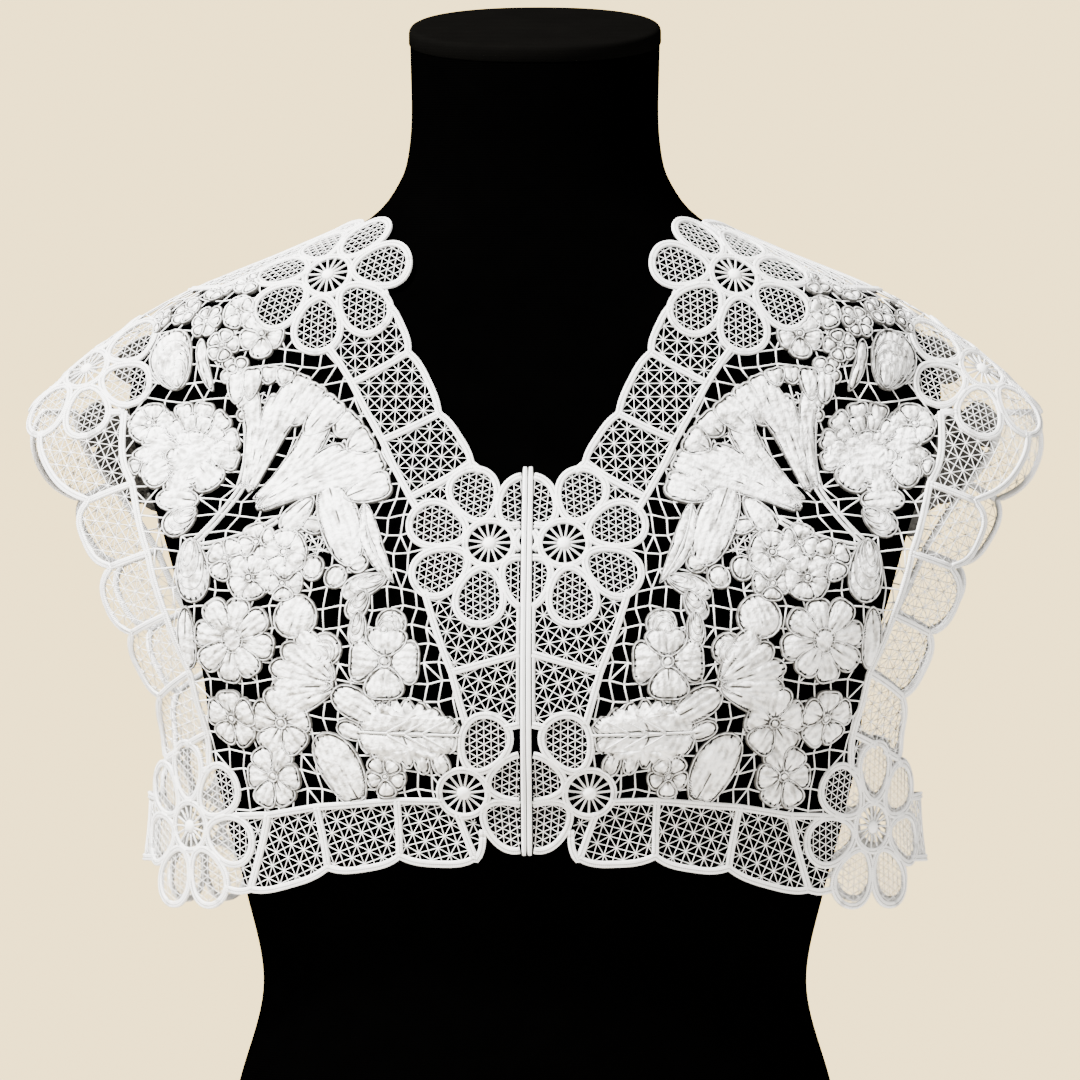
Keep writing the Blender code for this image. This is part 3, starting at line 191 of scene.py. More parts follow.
# --- lattices of the nets ---
STAR_TURN = 30.0          # degrees between a cell's inner edge and its net
KNOT_RADIUS = 0.62
KNOT_SHAPE = {"Segments": 8, "Rings": 4, "Flatness": 0.5}
NET_STEP = 0.7            # how finely a thread of a net is tested against its outline
NET_SPACING = 5.5         # points along a thread
CORD_SPACING = 2.4        # points along a cord
TRACE_STEP = 0.6          # how finely a cord is tested against what lies over it
EDGING_SHIFT = 0.9        # how far the thin edging lies inside the front edge's border

# --- bars ---
BAR_SPACING = 8.6
BAR_WANDER = 1.3
WANDER_ALONG = (12.9898, 78.233)
WANDER_UP = (39.346, 11.135)

# --- heights above the cloth's inner face ---
NET_LEVELS = (0.55, 0.72, 0.89, 0.72)
CORD_LEVEL = 0.95
BAR_LEVEL = 0.85
SPOKE_LEVEL = 0.8
HUB_LEVEL = 0.9
PAD_FOOT = 0.3
PAD_TOP = 1.45

# --- satin cords at the centre front ---
EDGE_CORD_ACROSS = 1.3
EDGE_CORD_TOP = 405.0
EDGE_CORD_FOOT = 229.5
EDGE_CORD_LIFT = 1.2

# --- flat cuts, width and length ---
DAISY_SIZE = (80.0, 80.0)
FLAT_SIZES = {"hem_wheel": (56.0, 66.0), "front_daisy": (58.0, 80.0), "side_net": (44.0, 30.0)}
LEAST_FILL = 0.31         # least area of a cut, as a share of its box

# --- parts of the motifs, as shares of their radius, or of their length and width ---
SEED_STEP = 1.37          # between the seeds of two motifs
PEONY_HEART = ((-0.08, -0.12, 0.6), (-0.02, -0.16, 0.44), (0.16, -0.1, 0.3), (0.28, -0.08, 0.17))
PEONY_CURLS = ((-0.42, 0.2), (-0.1, 0.36), (0.22, 0.34), (0.45, 0.12), (-0.4, -0.35), (0.1, -0.55))
BULB_BEADS = ((0.82, 0.46, 0.2), (1.0, 0.18, 0.19), (0.96, -0.2, 0.17), (0.7, 0.66, 0.16))
BULB_WINDOW = ((0.36, 0.1), (0.72, 0.1), (0.7, 0.6), (0.38, 0.6))
LILY_RIBS = (  # aside, end, width
    (-0.4, 0.9, 0.21),
    (0.4, 0.9, 0.21),
    (0.17, 0.92, 0.22),
    (-0.17, 0.64, 0.18),
    (0.0, 0.8, 0.17),
)
LILY_WINDOW = ((0.6, -0.16), (0.72, -0.26), (0.8, -0.13), (0.72, -0.02))
BACK_LEAST_RADIUS = 8.4   # flowers and leaves of the front that the back repeats are no smaller
BACK_LEAST_WIDTH = 10.0


class Bloom(Enum):
    """Kinds of flower."""

    OPEN = "open"
    PEONY = "peony"
    ROSE = "rose"
    SPIRAL = "spiral"
    BALL = "ball"
    CLUSTER = "cluster"


class Frond(Enum):
    """Kinds of leaf, stem and bud drawn from a base to a tip."""

    LEAF = "leaf"
    PETAL = "petal"
    SHELL = "shell"
    LILY = "lily"
    OAK = "oak"
    BULB = "bulb"
    STEM = "stem"
    FAN = "fan"


FLOWERS = (  # across, height, radius, petals, turn, kind
    (171.0, 471.5, 7.6, 5, 40, Bloom.OPEN),
    (158.2, 476.0, 8.5, 5, 10, Bloom.OPEN),
    (143.5, 485.5, 8.4, 5, 30, Bloom.OPEN),
    (129.5, 489.0, 8.6, 5, 15, Bloom.OPEN),
    (114.5, 494.0, 8.6, 5, 55, Bloom.OPEN),
    (148.5, 471.5, 8.8, 6, 0, Bloom.OPEN),
    (133.5, 476.0, 8.2, 5, 70, Bloom.CLUSTER),
    (118.5, 480.5, 7.6, 5, 20, Bloom.CLUSTER),
    (141.0, 460.5, 8.8, 5, 30, Bloom.OPEN),
    (122.5, 466.0, 11.8, 5, 50, Bloom.OPEN),
    (135.2, 449.5, 7.8, 5, 0, Bloom.ROSE),
    (128.5, 431.5, 6.8, 4, 0, Bloom.ROSE),
    (174.0, 424.5, 10.5, 5, 20, Bloom.CLUSTER),
    (176.5, 407.5, 8.0, 4, 60, Bloom.CLUSTER),
    (155.5, 411.5, 26.0, 9, 12, Bloom.PEONY),
    (137.0, 363.5, 9.5, 4, 25, Bloom.CLUSTER),
    (126.0, 355.0, 10.5, 5, 40, Bloom.CLUSTER),
    (122.8, 371.0, 9.0, 4, 70, Bloom.CLUSTER),
    (110.0, 366.5, 10.5, 5, 10, Bloom.CLUSTER),
    (110.5, 352.5, 8.5, 4, 0, Bloom.CLUSTER),
    (105.1, 337.5, 10.8, 2, 90, Bloom.BALL),
    (91.5, 322.5, 8.4, 3, 40, Bloom.SPIRAL),
    (101.0, 322.0, 6.5, 3, 0, Bloom.CLUSTER),
    (61.2, 334.0, 7.8, 3, 60, Bloom.SPIRAL),
    (134.0, 327.0, 21.0, 8, 11, Bloom.OPEN),
    (134.5, 291.5, 14.5, 5, 90, Bloom.OPEN),
    (63.8, 317.5, 17.0, 4, 2, Bloom.OPEN),
    (111.5, 289.5, 16.5, 5, 18, Bloom.OPEN),
    (115.5, 265.0, 15.5, 6, 0, Bloom.OPEN),
    (63.9, 265.6, 10.3, 5, 54, Bloom.OPEN),
)
LEAVES = (  # base across and height, tip across and height, width, bend, kind
    (161.5, 440.5, 168.0, 467.0, 25.0, 0.0, Frond.SHELL),
    (145.4, 440.0, 151.3, 464.0, 6.5, 1.5, Frond.PETAL),
    (153.0, 371.5, 131.0, 397.0, 2.4, 2.0, Frond.STEM),
    (131.0, 397.0, 128.5, 425.0, 2.4, 1.0, Frond.STEM),
    (151.0, 369.5, 114.0, 382.0, 2.4, 3.0, Frond.STEM),
    (128.5, 392.5, 112.0, 451.0, 42.0, 0.0, Frond.LILY),
    (124.5, 386.0, 72.5, 422.5, 59.0, 0.0, Frond.LILY),
    (91.0, 403.5, 63.0, 392.5, 12.0, 2.5, Frond.PETAL),
    (74.5, 390.5, 60.0, 352.5, 10.5, 3.5, Frond.LEAF),
    (96.0, 397.0, 82.0, 358.0, 31.0, 0.0, Frond.BULB),
    (122.0, 388.0, 97.0, 396.5, 7.0, 2.0, Frond.PETAL),
    (104.0, 380.0, 92.0, 377.0, 9.0, 0.0, Frond.PETAL),
    (63.0, 356.0, 84.0, 347.5, 12.0, 0.0, Frond.SHELL),
    (72.0, 350.0, 80.5, 336.0, 11.0, 0.0, Frond.SHELL),
    (76.0, 341.0, 77.0, 322.5, 9.5, 0.0, Frond.SHELL),
    (150.0, 389.5, 171.0, 391.0, 12.5, 0.0, Frond.PETAL),
    (151.0, 386.0, 167.5, 376.0, 14.0, 0.0, Frond.SHELL),
    (154.0, 374.0, 152.5, 343.5, 18.0, 0.0, Frond.SHELL),
    (156.5, 342.0, 155.0, 313.0, 11.5, 0.0, Frond.PETAL),
    (149.5, 309.5, 154.0, 289.5, 8.5, 0.0, Frond.PETAL),
    (83.7, 306.3, 117.5, 316.0, 40.0, 0.0, Frond.FAN),
    (65.0, 291.0, 88.5, 304.0, 15.5, 0.0, Frond.PETAL),
    (72.0, 283.5, 86.5, 288.5, 9.5, 0.0, Frond.PETAL),
    (78.0, 285.5, 27.0, 284.0, 33.0, 0.0, Frond.OAK),
    (49.0, 278.0, 45.5, 266.0, 8.0, 0.0, Frond.PETAL),
    (41.0, 278.0, 36.5, 265.0, 9.0, 0.0, Frond.PETAL),
    (77.0, 250.5, 94.5, 285.0, 22.0, -2.5, Frond.PETAL),
)
BACK_FLOWERS = (
    (28.0, 447.0, 18.0, 7, 10, Bloom.PEONY),
    (54.0, 424.0, 14.5, 6, 0, Bloom.OPEN),
    (16.0, 408.0, 14.5, 6, 30, Bloom.OPEN),
    (43.0, 391.0, 14.5, 5, 0, Bloom.OPEN),
    (17.0, 368.0, 15.5, 8, 0, Bloom.OPEN),
    (33.0, 336.0, 15.0, 5, 60, Bloom.OPEN),
    (17.0, 265.0, 10.5, 5, 54, Bloom.OPEN),
    (9.0, 290.0, 9.0, 5, 20, Bloom.OPEN),
)
BACK_LEAVES = (
    (58.0, 464.0, 86.0, 452.0, 16.0, 2.0, Frond.LEAF),
    (70.0, 442.0, 92.0, 426.0, 16.0, 0.0, Frond.SHELL),
    (8.0, 432.0, 36.0, 421.0, 13.0, 2.0, Frond.LEAF),
    (49.0, 375.0, 35.0, 351.0, 13.0, 2.0, Frond.LEAF),
    (13.0, 348.0, 8.0, 316.0, 14.0, 1.0, Frond.LEAF),
    (10.0, 306.0, 38.0, 309.0, 18.0, 0.0, Frond.SHELL),
)


# --- cloth ---
def beside(*columns: Number) -> np.ndarray:
    """Columns set side by side."""
    return np.stack(columns, -1)


def circle(turns: np.ndarray) -> np.ndarray:
    """Points of the unit circle at angles in radians."""
    return beside(np.cos(turns), np.sin(turns))


def way(degrees: float) -> np.ndarray:
    """Flat unit vector in a direction."""
    spin = math.radians(degrees)
    return np.array((math.cos(spin), math.sin(spin)))


def turned(points: Rows, degrees: float) -> np.ndarray:
    """Flat points turned anticlockwise."""
    c, s = way(degrees)
    x, y = np.asarray(points, float).T
    return beside(x * c - y * s, x * s + y * c)


def lengths(points: np.ndarray) -> np.ndarray:
    """How far along a line each of its points lies."""
    return np.concatenate(([0.0], np.cumsum(np.linalg.norm(np.diff(points, axis=0), axis=1))))


def resample(points: Rows, step: float) -> np.ndarray:
    """Points evenly spaced along a line, its ends kept.

    Args:
        points: The line's points.
        step: About how far apart the new ones are.

    Returns:
        The new points.
    """
    points = np.asarray(points, float)
    length = lengths(points)
    at = np.linspace(0, length[-1], max(2, int(round(length[-1] / step)) + 1))
    return np.stack([np.interp(at, length, column) for column in points.T], -1)


def inside(points: Rows, outline: Rows) -> np.ndarray:
    """Which points lie inside a closed outline.

    Args:
        points: Rows of two numbers.
        outline: The outline's points, in order.

    Returns:
        A mask with one entry for each point.
    """
    points = np.asarray(points, float)
    x = points[:, 0][:, None]
    y = points[:, 1][:, None]
    start = np.asarray(outline, float)
    end = np.roll(start, -1, 0)
    crosses = (start[:, 1] > y) != (end[:, 1] > y)
    rise = np.where(np.abs(end[:, 1] - start[:, 1]) < 1e-12, 1e-12, end[:, 1] - start[:, 1])
    at = start[:, 0] + (y - start[:, 1]) * (end[:, 0] - start[:, 0]) / rise
    return ((crosses & (x < at)).sum(1) % 2) == 1


def stretches(mask: np.ndarray) -> list[np.ndarray]:
    """Indices of each unbroken stretch of a mask."""
    edges = np.flatnonzero(np.diff(np.concatenate(([0], mask.astype(int), [0]))))
    return [np.arange(a, b) for a, b in zip(edges[::2], edges[1::2])]


def round_body(radius: Number, angle: Number, height: Number) -> np.ndarray:
    """Rows of x, y, z of points round the axis."""
    return beside(radius * np.sin(angle), -radius * np.cos(angle), height)


class Profile:
    """A smooth curve through one column of a table of sections, read by height."""

    def __init__(self, heights: Rows, values: Rows) -> None:
        """Take the curve's points.

        Args:
            heights: Heights of the curve's points.
            values: Values there.
        """
        self.x = np.array(heights, float)
        self.y = np.array(values, float)
        rise = np.diff(self.y) / np.diff(self.x)
        between = np.where(rise[:-1] * rise[1:] > 0, (rise[:-1] + rise[1:]) / 2, 0)
        self.slope = np.concatenate((rise[:1], between, rise[-1:]))

    def __call__(self, at: Number) -> Number:
        """Value at one or more heights, by cubic pieces.

        Args:
            at: One or more heights.

        Returns:
            The value at each.
        """
        at = np.clip(at, self.x[0], self.x[-1])
        i = np.clip(np.searchsorted(self.x, at) - 1, 0, len(self.x) - 2)
        step = self.x[i + 1] - self.x[i]
        t = (at - self.x[i]) / step
        return (
            (2 * t**3 - 3 * t**2 + 1) * self.y[i]
            + (t**3 - 2 * t**2 + t) * step * self.slope[i]
            + (3 * t**2 - 2 * t**3) * self.y[i + 1]
            + (t**3 - t**2) * step * self.slope[i + 1]
        )


class Body:
    """Oval sections stacked by height."""

    def __init__(self, sections: Rows, roundness: float) -> None:
        """Take a table of sections and the power of their ovals."""
        heights, *sizes = zip(*sections)
        self.side, self.front, self.back = (Profile(heights, column) for column in sizes)
        self.roundness = roundness

    def radius(self, angle: Number, height: Number) -> Number:
        """Distance from the axis, for angles in radians.

        Args:
            angle: Angles round the body, in radians.
            height: Heights above the base.

        Returns:
            One distance for each.
        """
        across = np.abs(np.sin(angle))
        along = np.abs(np.cos(angle))
        depth = np.where(np.cos(angle) >= 0, self.front(height), self.back(height))
        power = self.roundness
        return ((across / self.side(height)) ** power + (along / depth) ** power) ** (-1 / power)


class Cloth:
    """Inner face of the lace, with flat patterns laid on it and a flat chart of one half.

    On the chart one unit is about a millimetre: angle round the body one way, and the length of a
    line up the cloth the other way.
    """

    PER_RADIAN = 170.0
    LINE = 62.0               # degrees round the body of the line that measures the chart's height
    STEP_ROUND = 0.012        # steps that slopes are measured over, in radians
    STEP_UP = 1.2             # and in millimetres
    LOOSE = 12.0              # clearance at which the lace ripples in full

    def __init__(self, form: Body, drape: Body) -> None:
        """Work out the table of radii and the chart's heights.

        Args:
            form: The body under the lace.
            drape: How the lace would hang without it.
        """
        self.angles = np.linspace(0.0, math.pi, 361)
        self.heights = np.arange(180.0, 561.0, 1.0)
        self.table = self._table(form, drape)
        self.rise_heights = np.arange(190.0, 546.0, 2.0)
        line = self.point(np.full(len(self.rise_heights), math.radians(self.LINE)), self.rise_heights)
        self.rise = lengths(line)
        self.fold = math.pi * self.PER_RADIAN

    def _table(self, form: Body, drape: Body) -> np.ndarray:
        """The form with its clearance, or the free drape where that is wider, with soft ripples.

        Args:
            form: The body under the lace.
            drape: How the lace would hang without it.

        Returns:
            Radii by height and angle.
        """
        angle, height = np.meshgrid(self.angles, self.heights)
        body = form.radius(angle, height)
        turn = (form.radius(angle + 0.01, height) - form.radius(angle - 0.01, height)) / (0.02 * body)
        lean = form.radius(angle, height + 0.5) - form.radius(angle, height - 0.5)
        held = body + FORM_CLEARANCE * np.sqrt(1 + turn**2 + lean**2)
        free = drape.radius(angle, height)
        smooth = 0.5 * (held + free + np.sqrt((held - free) ** 2 + DRAPE_SOFTNESS**2))
        loose = np.clip((free - held) / self.LOOSE, 0, 1)
        wave = np.sin(angle * 26.0 + height * 0.021) * np.sin(height * 0.047 + angle * 3.0)
        return smooth + RIPPLE * loose * (0.5 + 0.5 * wave)

    def radius(self, angle: Number, height: Number) -> np.ndarray:
        """Distance from the axis, read between the rows of the table.

        Args:
            angle: Angles round the body, in radians.
            height: Heights above the base.

        Returns:
            One distance for each.
        """
        angle = np.abs(np.asarray(angle, float))
        angle = np.where(angle > math.pi, 2 * math.pi - angle, angle)
        a = np.clip(angle / (self.angles[1] - self.angles[0]), 0, len(self.angles) - 1.001)
        h = np.clip(np.asarray(height, float) - self.heights[0], 0, len(self.heights) - 1.001)
        i = a.astype(int)
        j = h.astype(int)
        s = a - i
        t = h - j
        low = self.table[j, i] * (1 - s) + self.table[j, i + 1] * s
        high = self.table[j + 1, i] * (1 - s) + self.table[j + 1, i + 1] * s
        return low * (1 - t) + high * t

    def point(self, angle: Number, height: Number) -> np.ndarray:
        """Points of the cloth, as rows of x, y, z."""
        angle = np.asarray(angle, float)
        r = self.radius(angle, height)
        return round_body(r, angle, np.asarray(height, float) + 0 * r)

    def slopes(self, angle: Number, height: Number) -> tuple[np.ndarray, np.ndarray, np.ndarray]:
        """The point, and its change with angle and with height.

        Args:
            angle: Angles round the body, in radians.
            height: Heights above the base.

        Returns:
            Rows of x, y, z: the points, and their change by angle and by height.
        """
        a, h = self.STEP_ROUND, self.STEP_UP
        by_angle = (self.point(angle + a, height) - self.point(angle - a, height)) / (2 * a)
        by_height = (self.point(angle, height + h) - self.point(angle, height - h)) / (2 * h)
        return self.point(angle, height), by_angle, by_height

    def normal(self, angle: Number, height: Number) -> np.ndarray:
        """Unit normal, pointing away from the body."""
        _, by_angle, by_height = self.slopes(angle, height)
        normal = np.cross(by_angle, by_height)
        return normal / np.linalg.norm(normal, axis=-1, keepdims=True)

    def axes(self, angle: float, height: float) -> tuple[np.ndarray, np.ndarray]:
        """Unit vectors along the cloth at one point: round the body, and up.

        Args:
            angle: Angles round the body, in radians.
            height: Heights above the base.

        Returns:
            Both vectors.
        """
        _, by_angle, by_height = self.slopes(np.array([angle]), np.array([height]))
        side = by_angle[0] / np.linalg.norm(by_angle[0])
        rise = by_height[0] - (by_height[0] @ side) * side
        return side, rise / np.linalg.norm(rise)

    def heading(self, angle: float, height: float, run: np.ndarray) -> float:
        """Direction of a run in space along the cloth at one point, in degrees from level."""
        side, rise = self.axes(angle, height)
        return math.degrees(math.atan2(run @ rise, run @ side))

    def _locate(self, target: np.ndarray, angle: np.ndarray,
                height: np.ndarray) -> tuple[np.ndarray, np.ndarray]:
        """Find the cloth's point nearest to each target, in two rounds.

        Args:
            target: Rows of x, y, z.
            angle: A near first guess.
            height: And its height.

        Returns:
            Angle and height of each.
        """
        for _ in range(2):
            here, by_angle, by_height = self.slopes(angle, height)
            off = target - here
            aa = (by_angle * by_angle).sum(-1)
            ah = (by_angle * by_height).sum(-1)
            hh = (by_height * by_height).sum(-1)
            oa = (off * by_angle).sum(-1)
            oh = (off * by_height).sum(-1)
            det = aa * hh - ah * ah
            angle = angle + (hh * oa - ah * oh) / det
            height = height + (aa * oh - ah * oa) / det
        return angle, height

    def lay(self, angle: float, height: float, flat: Rows, steps: int = 5) -> np.ndarray:
        """Lay a flat pattern on the cloth round one point, keeping distances from that point.

        Args:
            angle: Where the pattern's origin goes, round the body.
            height: Where the pattern's origin goes, above the base.
            flat: Rows of distance round the body and distance up.
            steps: How many steps each point is walked out in.

        Returns:
            Rows of angle and height.
        """
        flat = np.asarray(flat, float)
        side, rise = self.axes(angle, height)
        reach = np.hypot(flat[:, 0], flat[:, 1]) + 1e-9
        toward = (flat[:, :1] * side + flat[:, 1:] * rise) / reach[:, None]
        heading = np.where(reach[:, None] > 1e-6, toward, side)
        place = np.repeat(self.point([angle], [height]), len(flat), 0)
        angles = np.full(len(flat), float(angle))
        heights = np.full(len(flat), float(height))
        for _ in range(steps):
            angles, heights = self._locate(place + heading * (reach / steps)[:, None], angles, heights)
            place = self.point(angles, heights)
            normal = self.normal(angles, heights)
            heading = heading - (heading * normal).sum(-1)[:, None] * normal
            heading /= np.linalg.norm(heading, axis=-1, keepdims=True)
        return beside(angles, heights)

    def chart_round(self, angle: float, height: float, flat: Rows, steps: int = 5) -> np.ndarray:
        """Chart points of a flat pattern laid round one point."""
        return self.to_chart(self.lay(angle, height, flat, steps))

    def front_angle(self, across: Number, height: Number) -> np.ndarray:
        """Angle at which the front of the cloth lies this far across, by halving.

        Args:
            across: Distances from the centre front.
            height: Heights above the base.

        Returns:
            One angle for each.
        """
        across = np.asarray(across, float)
        height = np.asarray(height, float) + 0 * across
        low = np.zeros_like(across)
        high = np.full_like(across, math.pi / 2)
        for _ in range(32):
            middle = (low + high) / 2
            wide = self.radius(middle, height) * np.sin(middle) > across
            high = np.where(wide, middle, high)
            low = np.where(wide, low, middle)
        return (low + high) / 2

    def angle_at(self, across: float, height: float) -> float:
        """Angle of one point of the front."""
        return float(self.front_angle(np.array([across]), np.array([height]))[0])

    def to_chart(self, spots: Rows) -> np.ndarray:
        """Chart points of rows of angle and height."""
        spots = np.asarray(spots, float)
        return beside(spots[:, 0] * self.PER_RADIAN, np.interp(spots[:, 1], self.rise_heights, self.rise))

    def from_chart(self, chart: Rows) -> np.ndarray:
        """Rows of angle and height of chart points."""
        chart = np.asarray(chart, float)
        return beside(chart[:, 0] / self.PER_RADIAN, np.interp(chart[:, 1], self.rise, self.rise_heights))

    def chart_degrees(self, spots: Rows) -> np.ndarray:
        """Chart points of rows of angle in degrees and height."""
        angle, height = np.array(spots, float).T
        return self.to_chart(beside(np.radians(angle), height))

    def chart_front(self, spots: Rows) -> np.ndarray:
        """Chart points of rows of across and height on the front."""
        across, height = np.asarray(spots, float).T
        return self.to_chart(beside(self.front_angle(across, height), height))

    def mirror_to_back(self, chart: np.ndarray) -> np.ndarray:
        """The same chart points on the back half, across the side line."""
        return beside(self.fold - chart[:, 0], chart[:, 1])

    def centre(self, outline: np.ndarray) -> np.ndarray:
        """Angle and height of the mean of chart points."""
        return self.from_chart(outline.mean(0)[None])[0]

    def space(self, chart: np.ndarray) -> np.ndarray:
        """Points in space of chart points."""
        return self.point(*self.from_chart(chart).T)

    def lifted(self, chart: np.ndarray, lift: Number) -> tuple[np.ndarray, np.ndarray]:
        """Points in space at a height above the cloth, and the normals there."""
        normal = self.normal(*self.from_chart(chart).T)
        return self.space(chart) + normal * np.reshape(lift, (-1, 1)), normal

    def length(self, chart: Rows) -> float:
        """Real length of a line of chart points, in millimetres."""
        return float(lengths(self.space(resample(chart, 2.0)))[-1])

    def across(self, chart: np.ndarray) -> np.ndarray:
        """How far chart points of the front lie from the centre front."""
        angle, height = self.from_chart(chart).T
        return np.where(angle < math.pi / 2, self.radius(angle, height) * np.sin(angle), 1e3)


# --- node trees ---
class Value:
    """One number in a node tree, with the usual arithmetic."""

    def __init__(self, graph: "Graph", socket: Socket) -> None:
        """Wrap a socket of a graph."""
        self.graph = graph
        self.socket = socket

    def _math(self, operation: str, *terms: "float | Value", clamp: bool = False) -> "Value":
        """Add one Math node."""
        settings = {"operation": operation, "use_clamp": clamp}
        return self.graph.value("ShaderNodeMath", 0, settings, dict(enumerate(terms)))

    def __add__(self, other: "float | Value") -> "Value":
        """Sum."""
        return self._math("ADD", self, other)

    def __mul__(self, other: "float | Value") -> "Value":
        """Product."""
        return self._math("MULTIPLY", self, other)

    __radd__ = __add__
    __rmul__ = __mul__

    def __sub__(self, other: "float | Value") -> "Value":
        """Difference."""
        return self._math("SUBTRACT", self, other)

    def __rsub__(self, other: float) -> "Value":
        """Difference from a number."""
        return self._math("SUBTRACT", other, self)

    def __truediv__(self, other: "float | Value") -> "Value":
        """Quotient."""
        return self._math("DIVIDE", self, other)

    def __rtruediv__(self, other: float) -> "Value":
        """Quotient of a number."""
        return self._math("DIVIDE", other, self)

    def __pow__(self, other: "float | Value") -> "Value":
        """Power."""
        return self._math("POWER", self, other)

    def __rpow__(self, other: float) -> "Value":
        """Power of a number."""
        return self._math("POWER", other, self)

    def sine(self) -> "Value":
        """Sine of the value in radians."""
        return self._math("SINE", self)

    def size(self) -> "Value":
        """Absolute value."""
        return self._math("ABSOLUTE", self)

    def sign(self) -> "Value":
        """-1, 0 or 1."""
        return self._math("SIGN", self)

    def part(self) -> "Value":
        """What is left above the last whole number."""
        return self._math("FRACT", self)

    def most(self, other: "float | Value") -> "Value":
        """The larger of two."""
        return self._math("MAXIMUM", self, other)

    def held(self) -> "Value":
        """Kept between 0 and 1."""
        return self._math("ADD", self, 0.0, clamp=True)

    def step(self, low: float, high: float) -> "Value":
        """Smooth rise from 0 at low to 1 at high."""
        return self.graph.value("ShaderNodeMapRange", 0, {"interpolation_type": "SMOOTHSTEP"},
                                {"Value": self, "From Min": low, "From Max": high})


class Graph:
    """Adds nodes to one shader or geometry tree."""

    def __init__(self, tree: bpy.types.NodeTree) -> None:
        """Work on a tree."""
        self.tree = tree

    def feed(self, node: bpy.types.Node, inputs: dict) -> None:
        """Set a node's inputs.

        Args:
            node: The node.
            inputs: For each input, by name or index, a value, a socket or a Value to link.
        """
        for key, value in inputs.items():
            value = value.socket if isinstance(value, Value) else value
            if isinstance(value, Socket):
                self.tree.links.new(value, node.inputs[key])
            else:
                node.inputs[key].default_value = value

    def node(self, kind: str, settings: dict | None = None, inputs: dict | None = None) -> bpy.types.Node:
        """Add a node.

        Args:
            kind: The node's type.
            settings: Properties to set on it first.
            inputs: What its inputs get, as for feed.

        Returns:
            The node.
        """
        made = self.tree.nodes.new(kind)
        for key, value in (settings or {}).items():
            setattr(made, key, value)
        self.feed(made, inputs or {})
        return made

    def out(self, kind: str, inputs: dict | None = None, settings: dict | None = None,
            output: int | str = 0) -> Socket:
        """Add a node and take one of its outputs."""
        return self.node(kind, settings, inputs).outputs[output]

    def value(self, kind: str, output: int | str, settings: dict | None = None,
              inputs: dict | None = None) -> Value:
        """Add a node and take one of its outputs as a number."""
        return Value(self, self.out(kind, inputs, settings, output))

    def mixed(self, factor: Value, low: tuple, high: tuple) -> Socket:
        """Colour between two, by a factor."""
        return self.out("ShaderNodeMix", {0: factor, 6: low, 7: high}, {"data_type": "RGBA"}, 2)

    def marked(self, name: str, kind: str = "FLOAT") -> Socket:
        """A named attribute of the geometry."""
        return self.out("GeometryNodeInputNamedAttribute", {"Name": name}, {"data_type": kind}, "Attribute")

    def store(self, geometry: Socket, name: str, value: Socket) -> Socket:
        """Geometry with a number stored on its points."""
        inputs = {"Geometry": geometry, "Name": name, "Value": value}
        return self.out("GeometryNodeStoreNamedAttribute", inputs, {"data_type": "FLOAT", "domain": "POINT"})


class ShapeTree:
    """A node tree with named inputs that turns marked points into plain geometry with a finish."""

    NAME = "shape"
    INPUTS = {}

    def __init__(self) -> None:
        """Build the tree: its inputs, its shape, then Realize Instances and Set Material."""
        self.tree = bpy.data.node_groups.new(self.NAME, "GeometryNodeTree")
        face = self.tree.interface
        face.new_socket("Geometry", in_out="INPUT", socket_type="NodeSocketGeometry")
        self.sockets = {}
        for name, kind in self.INPUTS.items():
            made = face.new_socket(name, in_out="INPUT", socket_type="NodeSocket" + kind)
            self.sockets[name] = made.identifier
        face.new_socket("Geometry", in_out="OUTPUT", socket_type="NodeSocketGeometry")
        graph = Graph(self.tree)
        given = graph.node("NodeGroupInput").outputs
        whole = graph.out("GeometryNodeRealizeInstances", {"Geometry": self.shape(graph, given)})
        done = graph.out("GeometryNodeSetMaterial", {"Geometry": whole, "Material": given["Finish"]})
        graph.node("NodeGroupOutput", None, {0: done})

    def shape(self, graph: Graph, given: bpy.types.NodeOutputs) -> Socket:
        """The tree's own geometry."""
        raise NotImplementedError


